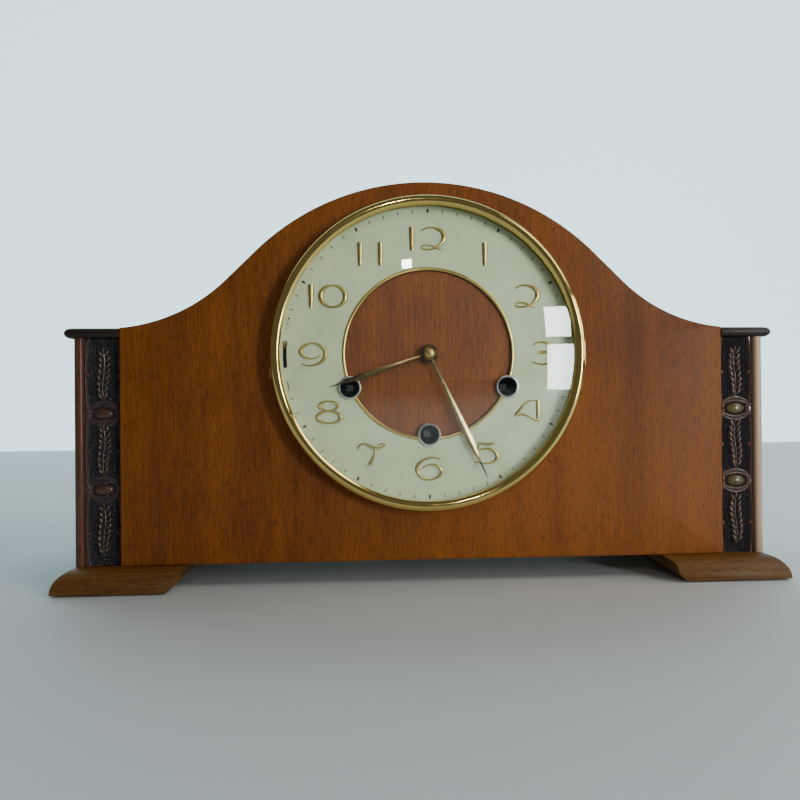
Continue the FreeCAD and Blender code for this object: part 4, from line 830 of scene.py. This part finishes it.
def carving(u, v):
    """Height in mm and finish of the carving at u mm across and v mm up. Each bump is raised to the highest."""
    middle = STRIP_WIDTH / MM / 2
    top = STRIP_HEIGHT / MM
    stipple = 0.45 + 0.45 * np.sin(np.pi * (u + v) / 0.95) * np.sin(np.pi * (u - v) / 0.95)
    height = stipple
    finish = np.full_like(u, GROUND)

    def raise_to(bump, kind):
        nonlocal height, finish
        finish = np.where(bump > height, kind, finish)
        height = np.maximum(height, bump)

    # wavy borders: the panel between them is widest half way between two bosses
    stations = np.array([0.0, *BOSS_LEVELS, top])
    nearest = np.searchsorted(stations, v.clip(0.001, top - 0.001)) - 1
    share = (v - stations[nearest]) / (stations[nearest + 1] - stations[nearest])
    edge = 2.6 - 1.9 * np.sin(np.pi * share) ** 0.6
    for distance in (u, 2 * middle - u):
        raise_to(np.where(distance < edge, 0.9, 0.0), RIDGE)
        raise_to(1.9 * np.exp(-((distance - edge) / 0.65) ** 2), RIDGE)

    # lens-shaped frames above and below each boss, and the boss itself
    for level in BOSS_LEVELS:
        across = (u - middle) / (middle - 1.0)
        for rise, strength in ((4.6, 1.5), (6.6, 1.2), (-4.6, 1.5), (-6.6, 1.2)):
            arch = level + rise * (1 - 0.62 * across ** 2)
            raise_to(strength * np.exp(-((v - arch) / 0.62) ** 2), RIDGE)
        oval = ((u - middle) / 5.4) ** 2 + ((v - level) / 3.1) ** 2
        raise_to(2.1 * np.sqrt(np.clip(1 - oval, 0, None)) + np.where(oval < 1, 0.3, 0), BOSS)
        for side in (-1, 1):
            for drop in (-1.3, 1.3):
                spot = ((u - middle - side * 7.4) / 1.1) ** 2 + ((v - level - drop) / 1.1) ** 2
                raise_to(1.5 * np.sqrt(np.clip(1 - spot, 0, None)), RIDGE)

    # ears: a stem with pairs of grains that lean out and up
    for low, high in EAR_SPANS:
        sway = middle + 0.6 * np.sin(2 * np.pi * (v - low) / (high - low))
        stem = 0.85 * np.exp(-((u - sway) / 0.5) ** 2) * ((v > low) & (v < high))
        raise_to(stem, LEAF)
        steps = np.linspace(low + 3, high - 1.5, 8)
        for place, at in enumerate(steps):
            spread = 2.5 * np.sin(np.pi * (0.22 + 0.62 * (len(steps) - place) / (len(steps) + 1)))
            for side in (-1, 1):
                lean = math.radians(62)
                du, dv = u - sway - side * spread, v - at
                long = (side * du * math.cos(lean) + dv * math.sin(lean)) / 2.4
                wide = (side * du * math.sin(lean) - dv * math.cos(lean)) / 1.2
                raise_to(1.9 * np.sqrt(np.clip(1 - long ** 2 - wide ** 2, 0, None)), LEAF)
        tip = ((u - sway) / 0.8) ** 2 + ((v - high) / 2.0) ** 2
        raise_to(1.5 * np.sqrt(np.clip(1 - tip, 0, None)), LEAF)

    # one bead on each border, half way up each panel
    for level in BEAD_LEVELS:
        for distance in (u, 2 * middle - u):
            ball = ((distance - 1.9) / 1.25) ** 2 + ((v - level) / 1.25) ** 2
            raise_to(1.9 * np.sqrt(np.clip(1 - ball, 0, None)), BEAD)

    return height, finish


def strip_shape(columns=116, rows=720):
    """The height map over a flat ground, with straight walls down to the strip's back."""
    ground = strip_low.y + 2.0 * MM
    u = np.linspace(0, STRIP_WIDTH / MM, columns)
    v = np.linspace(0, STRIP_HEIGHT / MM, rows)
    grid_v, grid_u = np.meshgrid(v, u, indexing="ij")
    height, finish = carving(grid_u, grid_v)
    x = strip_low.x + grid_u * MM
    z = strip_low.z + grid_v * MM
    points, faces = walled(np.stack([x, ground - height * MM, z], axis=-1), strip_high.y)
    return (points, faces), np.append(finish.ravel(), np.full(len(points) - finish.size, RIDGE))


# %% [markdown]
# The strips are almost black, with a purple sheen where light grazes the stipple. Leaves are a little lighter. On
# the right the borders are worn to brown and the bosses look like old bronze. The left strip gets darker, redder
# colours for borders, bosses and leaves: painted shade for the side the light doesn't reach. So each side has its
# own finish from one recipe.


# %% Carved finish
def carved_finish(name, leaf, ridge, boss, bead):
    """One gloss for all, and a colour for each kind of surface. Only the leaves are partly metallic."""
    finish = Finish(name, Coat_Weight=0.5, Coat_Roughness=0.1, Specular_IOR_Level=0.4)
    kind = finish.own_values()
    ramp = finish.add("ShaderNodeValToRGB", Fac=kind)
    ramp.color_ramp.interpolation = "CONSTANT"
    colours = [(0.008, 0.005, 0.011), leaf, ridge, boss, bead]
    while len(ramp.color_ramp.elements) < len(colours):
        ramp.color_ramp.elements.new(1.0)
    for element, value, colour in zip(ramp.color_ramp.elements, (GROUND, LEAF, RIDGE, BOSS, BEAD), colours):
        element.position = max(value - LEAF / 2, 0.0)
        element.color = (*colour, 1.0)
    dirt = finish.remap(finish.noise(finish.place, 260, 4.0), 0.35, 0.7)
    base = finish.mix(finish.math("MULTIPLY", dirt, 0.5), ramp.outputs["Color"], (0.012, 0.008, 0.010))
    finish.bump(finish.noise(finish.place, 1500, 3.0), 0.12, 0.0001)
    off_leaf = finish.math("ABSOLUTE", finish.math("SUBTRACT", kind, LEAF))
    finish.put(finish.shader, "Metallic", finish.remap(off_leaf, LEAF / 2, 0, 0.0, 0.7))
    return finish.done(base, finish.remap(dirt, 0, 1, 0.24, 0.5))


right_carved_finish = carved_finish("right_carved_finish", (0.19, 0.125, 0.10), (0.21, 0.120, 0.085),
                                    (0.120, 0.095, 0.018), (0.190, 0.075, 0.055))
# The left strip's colours are darker and redder: a painted shade for the side away from the light.
left_carved_painted_shade = carved_finish("left_carved_painted_shade", (0.11, 0.080, 0.065), (0.085, 0.048, 0.042),
                                   (0.080, 0.028, 0.014), (0.075, 0.032, 0.024))
strip, strip_values = strip_shape()
make_pair("carving", strip, "dark_wood", "carved_strip", right_carved_finish, left_carved_painted_shade, sharp=60,
          values=strip_values)

# %% [markdown]
# ## Bezel and glass
#
# The bezel is a thin polished ring: a quarter-round outside, a bright lip inside, and a step that holds the glass.
# The glass is a slice of a sphere. Both are outlines turned about the dial's axis. The back of the bezel is cut
# short beside the hinge, so we lift the skirt's points there.


# %% Bezel
def bezel_shape():
    """The outline in mm: how far inside the outer edge, its y, and how much that corner is softened."""
    edge, front = (bezel_high.z - DIAL_Z) / MM, bezel_low.y / MM
    back, glass_seat, skirt_top = -62.8, -72.0, -67.4
    outline = np.array([
        (0.0, back, 0.2), (0.0, -70.6, 0.9), (0.5, -72.5, 0.8), (1.8, front + 0.25, 0.7), (3.3, front, 0.7),
        (4.8, front + 0.35, 0.6), (6.0, front + 1.3, 0.3), (6.2, glass_seat, 0.2), (4.2, glass_seat, 0.3),
        (4.2, skirt_top, 0.3), (1.4, skirt_top, 0.2), (1.4, back, 0.2)])
    corners = np.stack([edge - outline[:, 0], outline[:, 1]], axis=1)
    points, faces = turned(softened(corners * MM, outline[:, 2] * MM, 5), columns=360)
    beside_hinge = (points[..., 0] > 0) & (abs(points[..., 2] - DIAL_Z) < 7.6 * MM)
    cut_short = (skirt_top + 0.1) * MM
    points[..., 1] = np.where(beside_hinge, np.minimum(points[..., 1], cut_short), points[..., 1])
    return points, faces


def block(low, high, ease=0.3 * MM):
    """A box with its upright edges rounded."""
    corners = [(low[0], low[1]), (low[0], high[1]), (high[0], high[1]), (high[0], low[1])]
    return upright(softened(corners, ease, 4), low[2], high[2])


def bezel_fittings():
    """The moving knuckle of the hinge with its web, and the small lifting tab near nine o'clock."""
    pin, knuckle_radius, bore_radius, half = np.array([90.3, -64.0]) * MM, 1.2 * MM, 0.55 * MM, 2.8 * MM
    angle = np.linspace(0, 2 * np.pi, 32, endpoint=False)
    circle = np.stack([np.cos(angle), np.sin(angle)], axis=1)
    rings = [np.insert(pin + radius * circle, 2, DIAL_Z + side * half, axis=1) for radius, side in
             ((knuckle_radius, -1), (knuckle_radius, 1), (bore_radius, 1), (bore_radius, -1))]
    knuckle = np.stack(rings), grid_faces(4, len(angle), wrap_rows=True, wrap_columns=True)
    web = block((87.6 * MM, -67.2 * MM, DIAL_Z - half), (89.4 * MM, -64.6 * MM, DIAL_Z + half), 0.2 * MM)
    tab_low = (-89.8 * MM, -66.5 * MM, DIAL_Z - 13 * MM)
    tab_high = (-88.2 * MM, -64.5 * MM, DIAL_Z - 7 * MM)
    return joined([knuckle, web, block(tab_low, tab_high, 0.5 * MM)])


make_piece("bezel_hoop", bezel_shape(), "bezel", "bezel_brass", polished_brass, ["bezel_ring"], 45)
make_piece("bezel_fittings", bezel_fittings(), "bezel", "bezel_brass", polished_brass)


# %% Glass
def glass_shape(steps=40):
    """Two spheres with one centre, joined at the rim: the point at radius r stands at centre - sqrt(R^2 - r^2)."""
    thickness = 1.8 * MM
    r = GLASS_RIM * np.sin(np.linspace(0, np.pi / 2, steps))
    front, back = (np.stack([r, GLASS_MIDDLE[1] - np.sqrt(radius ** 2 - r ** 2)], axis=1)
                   for radius in (GLASS_RADIUS, GLASS_RADIUS - thickness))
    return turned(np.concatenate([front, back[::-1]]))


glass = make_piece("domed_glass", glass_shape(), "bezel", "clear_glass", glass_finish, ["dial_glass"], 60)
glass.visible_shadow = False

# %% [markdown]
# ## Dial: bead ring and winding holes
#
# A narrow gilt bead divides the pale ring from the wooden centre. It stops at the three winding holes, each lined
# by a bright eyelet. So the bead is three open arcs, and the angle where it stops follows from the two radii.

# %% Bead ring and eyelets
BEAD_CLEARANCE = 5.9 * MM
BEAD_RADII = (47.2 * MM, 49.2 * MM)
eyelet_low, eyelet_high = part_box("winding_grommets")
EYELET_RIM = 6.5 * MM
side_hole = (eyelet_high.x - EYELET_RIM, eyelet_high.z - EYELET_RIM)
HOLES = [(-side_hole[0], side_hole[1]), side_hole, (0.0, eyelet_low.z + EYELET_RIM)]


def bead_shape():
    """Half-round ring in three arcs; near a hole each ends where its middle line meets the eyelet's wall."""
    mid = sum(BEAD_RADII) / 2
    half = (BEAD_RADII[1] - BEAD_RADII[0]) / 2
    low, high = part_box("chapter_ring_bead")
    angle = np.linspace(0, np.pi, 9)
    dome = np.stack([mid + half * np.cos(angle), low.y + 0.7 * MM * (1 - np.sin(angle))], axis=1)
    profile = np.concatenate([dome, [(mid - half, high.y), (mid + half, high.y)]])
    # How far out from the bead's middle line: the gilding paints the bead's sides dark, a painted shade.
    share = np.append(np.abs(np.cos(angle)), [1, 1])
    stops = []
    for x, z in HOLES:
        reach = math.hypot(x, z - DIAL_Z)
        bearing = math.degrees(math.atan2(z - DIAL_Z, x)) % 360
        cosine = (reach ** 2 + mid ** 2 - BEAD_CLEARANCE ** 2) / (2 * reach * mid)
        stops.append((bearing, math.degrees(math.acos(cosine))))
    stops.sort()
    arcs, painted_edge_shares = [], []
    for (bearing, gap), (next_bearing, next_gap) in zip(stops, stops[1:] + stops[:1]):
        first, last = bearing + gap, next_bearing - next_gap
        last += 360 if last < first else 0
        columns = int((last - first) / 1.5)
        arcs.append(turned(profile, columns=columns, arc=(first, last)))
        painted_edge_shares.append(np.repeat(share, columns))
    return joined(arcs), np.concatenate(painted_edge_shares)


def eyelet_shape(centre):
    """A thin tube with a rolled lip in front."""
    front, back, bore, wall = eyelet_low.y, eyelet_high.y, 5.4 * MM, 5.85 * MM
    outline = [(bore, back), (bore, front), (EYELET_RIM, front + 0.1 * MM), (EYELET_RIM, front + 0.55 * MM),
               (wall, front + 0.6 * MM), (wall, back)]
    return turned(softened(outline, 0.25 * MM, 5), centre, columns=72)


bead, bead_edge_shade = bead_shape()
make_piece("gilt_bead", bead, "case", "gilt", gilding, ["chapter_ring_bead"], values=bead_edge_shade)
make_piece("eyelets", joined([eyelet_shape(hole) for hole in HOLES]), "case", "nickel", nickel_finish,
           ["winding_grommets"])

# %% [markdown]
# ## Minute marks
#
# Every minute has a thin black tick and every fifth a broad one. A tick is one small block, made once at twelve
# o'clock and turned. The marks beside the lever's slot take the place of two of the words that such dials carry:
# three dots for chime and a dash for silent.

# %% Ticks and lever marks
TICK_RADIUS = 81.0 * MM
PRINT_FACE = DIAL_FACE - 0.04 * MM


def flat_mark(width, length, clock_degrees, radius=TICK_RADIUS, corner=0.3):
    """A thin block of width x length mm, centred at a radius and a clock angle, with rounded corners."""
    half_w, half_l = width * MM / 2, length * MM / 2
    corners = [(-half_w, -half_l), (half_w, -half_l), (half_w, half_l), (-half_w, half_l)]
    plan = softened(corners, corner * min(half_w, half_l), 3)
    front = clock_turned(plan[:, 0], np.full(len(plan), PRINT_FACE), plan[:, 1] + radius, clock_degrees)
    return capped(np.stack([front, front + [0, 0.1 * MM, 0]]))


LEVER_SLOT_MINUTES = range(43, 48)
marks = [flat_mark(1.4, 2.4, minute * 6, corner=0.8) if minute % 5 == 0 else flat_mark(0.5, 2.3, minute * 6)
         for minute in range(60) if minute not in LEVER_SLOT_MINUTES]
marks += [flat_mark(size, size, angle, corner=1.0) for size, angle in ((0.8, 280.3), (1.05, 282.2), (1.3, 284.4))]
marks.append(flat_mark(5.0, 0.55, 257.5))
make_piece("minute_marks", joined(marks), "case", "chapter_enamel", ink)

# %% [markdown]
# ## Numerals
#
# The numerals are stamped and gilt: thick and thin strokes with a rounded top. Each stroke is a path with a
# half-width at each point, and its section is half an ellipse. The paths are smooth curves through a few points,
# in units of the numeral's height, as a lettering artist would set them out.

# %% Strokes
NUMERAL_HEIGHT = 13.3 * MM
NUMERAL_RADIUS = 65.2 * MM
NUMERAL_RELIEF = 0.95 * MM


def smooth_path(knots, steps=12):
    """Catmull-Rom curve: between two knots, a cubic whose end slopes are half the chord of the neighbours."""
    knots = np.asarray(knots, float)
    padded = np.concatenate([[2 * knots[0] - knots[1]], knots, [2 * knots[-1] - knots[-2]]])
    p0, p1, p2, p3 = (padded[i:len(padded) - 3 + i, None] for i in range(4))
    t = np.linspace(0, 1, steps, endpoint=False)[None, :, None]
    curve = 0.5 * (2 * p1 + (p2 - p0) * t + (2 * p0 - 5 * p1 + 4 * p2 - p3) * t ** 2
                   + (3 * p1 - p0 - 3 * p2 + p3) * t ** 3)
    return np.concatenate([curve.reshape(-1, knots.shape[1]), knots[-1:]])


def stroke(path, centre, closed=False):
    """A raised stroke from (x, z, half-width) rows. Across it, s runs from -1 to 1 and the height is sqrt(1 - s^2).

    The share |s| is kept for the finish, which paints both edges dark as shade and dark reflection.
    """
    line, half = path[:, :2] * NUMERAL_HEIGHT, path[:, 2:] * NUMERAL_HEIGHT * 1.08 + 0.08 * MM
    if closed:
        heading = np.roll(line, -1, axis=0) - np.roll(line, 1, axis=0)
    else:
        heading = np.gradient(line, axis=0)
    heading /= np.linalg.norm(heading, axis=1, keepdims=True)
    sideways = np.stack([-heading[:, 1], heading[:, 0]], axis=1)
    angle = np.linspace(0, np.pi, 9)
    s, rise = np.cos(angle), np.sin(angle)
    relief = np.clip(half * 1.5, 0.35 * MM, NUMERAL_RELIEF)
    x = line[:, :1] + sideways[:, :1] * half * s + centre[0]
    z = line[:, 1:] + sideways[:, 1:] * half * s + centre[1]
    y = DIAL_FACE - 0.1 * MM - relief * rise
    y[:, [0, -1]] = DIAL_FACE + 0.05 * MM
    points = np.stack([x, y, z], axis=-1)
    rows, columns = points.shape[:2]
    faces = grid_faces(rows, columns, wrap_rows=closed, wrap_columns=True)
    if not closed:
        faces += [list(range(columns)), list(range((rows - 1) * columns, rows * columns))]
    return points, faces, np.broadcast_to(np.abs(s), (rows, columns)).ravel()


def oval(cx, cz, rx, rz, thin, thick, steps=56):
    """A closed ring stroke, thick at its sides and thin at top and bottom."""
    angle = np.linspace(0, 2 * np.pi, steps, endpoint=False)
    half = thin + (thick - thin) * np.abs(np.cos(angle)) ** 1.6
    return np.stack([cx + rx * np.cos(angle), cz + rz * np.sin(angle), half], axis=1)


# %% [markdown]
# Each digit is a list of strokes. A knot is (x, z, half-width), with the digit about one unit tall and centred on
# its own middle. Nine is six turned upside down, just as a sign writer would draw it.

# %% The ten digits
SIX = [(0.48, 0.40, 0.016), (0.14, 0.485, 0.026), (-0.30, 0.36, 0.048), (-0.53, 0.03, 0.066), (-0.38, -0.32, 0.044),
       (0.0, -0.47, 0.028), (0.38, -0.34, 0.050), (0.52, -0.11, 0.070), (0.36, 0.12, 0.046), (0.05, 0.18, 0.026),
       (-0.22, 0.10, 0.020), (-0.29, 0.01, 0.020)]
OPEN_STROKES = {
    1: [[(0.0, 0.49, 0.100), (0.0, 0.16, 0.094), (0.0, -0.16, 0.084), (0.0, -0.49, 0.070)]],
    2: [[(-0.50, 0.33, 0.016), (-0.28, 0.46, 0.024), (0.04, 0.47, 0.034), (0.36, 0.34, 0.070), (0.48, 0.07, 0.085),
         (0.36, -0.20, 0.060), (0.08, -0.40, 0.032), (-0.24, -0.46, 0.028), (-0.48, -0.40, 0.024),
         (-0.40, -0.28, 0.022), (-0.10, -0.29, 0.030), (0.12, -0.38, 0.034), (0.36, -0.48, 0.016)]],
    3: [[(-0.42, 0.36, 0.018), (-0.14, 0.475, 0.028), (0.20, 0.44, 0.050), (0.36, 0.26, 0.062), (0.22, 0.09, 0.034),
         (-0.04, 0.045, 0.024)],
        [(0.04, 0.06, 0.024), (0.34, -0.01, 0.050), (0.49, -0.20, 0.072), (0.32, -0.40, 0.050),
         (-0.06, -0.475, 0.028), (-0.44, -0.36, 0.018)]],
    4: [[(0.46, 0.45, 0.080), (0.46, 0.10, 0.074), (0.46, -0.20, 0.066), (0.46, -0.48, 0.046)],
        [(0.44, 0.42, 0.026), (0.12, 0.41, 0.026), (-0.14, 0.26, 0.036), (-0.34, 0.02, 0.050), (-0.52, -0.22, 0.060)],
        [(-0.54, -0.24, 0.030), (-0.28, -0.17, 0.040), (0.0, -0.22, 0.036), (0.26, -0.36, 0.040),
         (0.56, -0.44, 0.018)]],
    5: [[(-0.34, 0.45, 0.018), (-0.06, 0.37, 0.044), (0.18, 0.37, 0.048), (0.44, 0.46, 0.016)],
        [(-0.30, 0.42, 0.026), (-0.34, 0.25, 0.030), (-0.38, 0.07, 0.030)],
        [(-0.40, 0.08, 0.020), (-0.06, 0.17, 0.034), (0.32, 0.09, 0.062), (0.47, -0.15, 0.076), (0.32, -0.38, 0.050),
         (-0.06, -0.475, 0.028), (-0.46, -0.36, 0.018)]],
    6: [SIX],
    7: [[(-0.58, 0.20, 0.024), (-0.53, 0.36, 0.030), (-0.30, 0.44, 0.044), (0.02, 0.29, 0.052), (0.30, 0.24, 0.034),
         (0.56, 0.35, 0.018)],
        [(0.16, 0.25, 0.026), (0.12, 0.02, 0.036), (0.0, -0.30, 0.060), (-0.09, -0.46, 0.074)]],
    9: [[(-x, -z, half) for x, z, half in SIX]],
}
RINGS = {
    0: [(0.0, 0.0, 0.52, 0.46, 0.030, 0.088)],
    3: [(-0.02, 0.045, 0.13, 0.045, 0.020, 0.026)],
    7: [(0.43, 0.37, 0.12, 0.07, 0.022, 0.030)],
    8: [(-0.01, 0.265, 0.385, 0.20, 0.030, 0.056), (0.0, -0.215, 0.49, 0.25, 0.030, 0.066)],
}
LAYOUT = {10: ((1, -0.72), (0, 0.20)), 11: ((1, -0.43), (1, 0.43)), 12: ((1, -0.68), (2, 0.22))}


def numeral(hour):
    """The strokes of one hour's numeral, upright at its place on the dial."""
    turn = math.radians(hour * 30)
    middle = (DIAL_X + NUMERAL_RADIUS * math.sin(turn), DIAL_Z + NUMERAL_RADIUS * math.cos(turn))
    strokes = []
    for digit, shift in LAYOUT.get(hour, ((hour, 0.0),)):
        centre = (middle[0] + shift * NUMERAL_HEIGHT, middle[1])
        strokes += [stroke(smooth_path(knots), centre) for knots in OPEN_STROKES.get(digit, [])]
        strokes += [stroke(oval(*ring), centre, closed=True) for ring in RINGS.get(digit, [])]
    painted_edge_shares = np.concatenate([share for _, _, share in strokes])
    return joined([(points, faces) for points, faces, _ in strokes]), painted_edge_shares


# Each numeral's gilding is painted dark along the sides of its strokes: painted shade.
for hour in range(1, 13):
    shape, share = numeral(hour)
    make_piece("numeral_%02d" % hour, shape, "case", "gilt", gilding, sharp=60, values=share)

# %% [markdown]
# ## Hands
#
# Both hands are long lances: narrow at the hub, widest at about two thirds, then a fine needle. Two facets meet in
# a ridge, so one side is bright and the other dark, which makes a thin hand easy to read. The needle is black.
# The gilt of both hands is painted darker than the numerals' as a dark reflection, the hour hand's most.

# %% Hands
LANCE_SHARE = [0.03, 0.35, 0.68, 0.80, 0.87, 1.0]
LANCE_WIDTH = [0.36, 0.66, 1.0, 0.66, 0.30, 0.12]


def blade(length, half_width, back, ridge, rows=70):
    """A hand that points at twelve: five points across, the middle one on the ridge."""
    share = np.linspace(0.03, 1.0, rows)
    half = half_width * np.interp(share, LANCE_SHARE, LANCE_WIDTH)[:, None]
    across = np.array([-1, -1, 0, 1, 1])
    edge = 0.15 * MM
    crest = np.maximum(edge * 1.2, ridge * half / half_width)
    rise = np.concatenate([0 * half, edge + 0 * half, crest, edge + 0 * half, 0 * half], axis=1)
    x = half * across
    return capped(np.stack([x, back - rise, share[:, None] * length + 0 * x], axis=-1))


def hand_shape(length, half_width, back, hub_radius, bore, clock_degrees):
    """A blade and its hub, a ring of which the back is at y = back."""
    front, ridge = back - 0.8 * MM, 0.62 * MM
    hub = softened([(bore, back), (hub_radius, back), (hub_radius, front), (bore, front)], 0.22 * MM, 4)
    points, faces = joined([turned(hub, (0, 0), 72), blade(length, half_width, back, ridge)])
    return clock_turned(*points.T, clock_degrees), faces


def hand_finish(name, length, gilt, worn):
    """Gilt up to the needle, then black. The distance from the dial's centre decides."""
    finish = Finish(name)
    centred = finish.add("ShaderNodeMapping", Vector=finish.place, Location=(-DIAL_X, 0, -DIAL_Z), Scale=(1, 0, 1))
    distance = finish.add("ShaderNodeVectorMath", {"operation": "LENGTH"}, i0=centred.outputs["Vector"])
    needle = finish.remap(distance.outputs["Value"], length * 0.855, length * 0.875)
    wear_and_painted_light = finish.remap(finish.noise(finish.place, 220, 4.0), 0.4, 0.7)
    gilt = finish.mix(finish.math("MULTIPLY", wear_and_painted_light, 0.5), gilt, worn)
    finish.put(finish.shader, "Metallic", finish.remap(needle, 0, 1, 1.0, 0.2))
    return finish.done(finish.mix(needle, gilt, (0.02, 0.018, 0.015)), finish.remap(needle, 0, 1, 0.2, 0.45))


# The hour hand goes by the minute hand, but it was set 1.2 degrees slow.
MINUTE_DEGREES = 155.1
HOUR_DEGREES = (8 + MINUTE_DEGREES / 360) * 30 - 1.2
MINUTE_LENGTH = 77.1 * MM
HOUR_LENGTH = 58.3 * MM
minute_hand = hand_shape(MINUTE_LENGTH, 2.0 * MM, -68.7 * MM, 3.6 * MM, 1.6 * MM, MINUTE_DEGREES)
hour_hand = hand_shape(HOUR_LENGTH, 1.8 * MM, -66.9 * MM, 5.2 * MM, 2.7 * MM, HOUR_DEGREES)
# Both gilt colours are painted darker than the numerals' gilt, a painted dark reflection; the hour hand's is darkest.
minute_gilt = hand_finish("minute_hand_finish", MINUTE_LENGTH, (0.40, 0.30, 0.13), (0.15, 0.09, 0.035))
hour_gilt = hand_finish("hour_hand_finish", HOUR_LENGTH, (0.17, 0.11, 0.045), (0.06, 0.036, 0.016))
make_piece("minute_lance", minute_hand, "minute_hand", "gilt", minute_gilt, ["minute_hand"], 12)
make_piece("hour_lance", hour_hand, "hour_hand", "gilt", hour_gilt, ["hour_hand"], 12)


def nut_shape():
    """A turned outline: a round nut with a step and a domed end, over the end of the arbor."""
    low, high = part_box("hand_nut")
    edge = (high.x - low.x) / 2
    outline = [(0, high.y), (edge, high.y), (edge, high.y - 0.9 * MM), (edge - 0.7 * MM, low.y + 0.5 * MM),
               (1.1 * MM, low.y), (0, low.y)]
    return turned(softened(outline, [0.0, 0.1 * MM, 0.3 * MM, 0.5 * MM, 0.4 * MM, 0.0], 5), columns=72)


make_piece("nut", nut_shape(), "minute_hand", "gilt", gilt_finish, ["hand_nut"])


# %% [markdown]
# ## The back: knob and screws
#
# The back is plain, but a real one has turned and slotted metal on it. The knob is a lathe outline. A screw head is
# a disc made from a square grid by the map x = u sqrt(1 - v^2/2), y = v sqrt(1 - u^2/2), which keeps grid lines
# nearly straight, so a strip of the grid can be sunk to make the slot.


# %% Knob and screws
def knob_shape():
    """A foot plate, a neck and a ball: from the neck on, the outline follows the ball's circle to its far pole."""
    low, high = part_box("door_knob")
    centre = ((low.x + high.x) / 2, (low.z + high.z) / 2)
    plate, neck, ball = 4.6 * MM, 2.2 * MM, 4.2 * MM
    ball_y = high.y - ball
    angle = np.linspace(math.asin(neck / ball), np.pi, 16)
    round_end = np.stack([ball * np.sin(angle), ball_y - ball * np.cos(angle)], axis=1)
    round_end[-1, 0] = 0.0
    foot = [(0, low.y), (plate, low.y), (plate, low.y + 0.8 * MM), (neck + 0.6 * MM, low.y + 1.6 * MM),
            (neck, low.y + 2.4 * MM)]
    return turned(np.concatenate([foot, round_end]), centre, 64)


def screw_head(x, y, z, radius, turn_degrees, cells=12):
    """A low domed head that faces +Y, with a straight slot."""
    side = np.sort(np.concatenate([np.linspace(-1, 1, cells + 1), [-0.16, -0.13, 0.13, 0.16]]))
    u, v = np.meshgrid(side, side, indexing="ij")
    across, along = u * np.sqrt(1 - v ** 2 / 2), v * np.sqrt(1 - u ** 2 / 2)
    dome = 0.35 * radius * (1 - across ** 2 - along ** 2) + 0.12 * radius
    rise = np.where(np.abs(u) < 0.14, dome - 0.28 * radius, dome)
    turn = math.radians(turn_degrees)
    place_x = x + radius * (across * math.cos(turn) - along * math.sin(turn))
    place_z = z + radius * (across * math.sin(turn) + along * math.cos(turn))
    return walled(np.stack([place_x, y + rise, place_z], axis=-1), y - 0.05 * MM)


make_piece("knob", knob_shape(), "back_door", "bezel_brass", polished_brass, ["door_knob"])

HINGE_LEVELS = (58.0 * MM, 156.0 * MM)
LEAF_FACE = 68.8 * MM
HINGE_SCREW, BOARD_SCREW = 1.5 * MM, 2.6 * MM
door_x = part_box("door_hinge_leaves")[1].x - 3.0 * MM
case_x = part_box("case_hinge_leaves")[0].x + 3.0 * MM
door_screws, case_screws = [], []
for number, level in enumerate(HINGE_LEVELS):
    for side in (-1, 1):
        z = level + side * 7.0 * MM
        door_screws.append(screw_head(door_x, LEAF_FACE, z, HINGE_SCREW, 20 + 50 * number + 35 * side))
        case_screws.append(screw_head(case_x, LEAF_FACE, z, HINGE_SCREW, 70 - 40 * number + 25 * side))
make_piece("door_screws", joined(door_screws), "back_door", "bezel_brass", polished_brass)

back_low, back_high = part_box("back_board")
for x in (-176, -120, 120, 176):
    case_screws.append(screw_head(x * MM, back_high.y, back_low.z + 6 * MM, BOARD_SCREW, x))
for x, z in ((-176, 128), (176, 128), (-104, 171), (104, 171), (0, 222)):
    case_screws.append(screw_head(x * MM, back_high.y, z * MM, BOARD_SCREW, 3 * x + 40))
make_piece("case_screws", joined(case_screws), "case", "bezel_brass", polished_brass)

# %% Check for shown CAD nodes without a finish
for name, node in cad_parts.items():
    if not node.hide_render and not node.data.materials:
        print("no finish on", name)
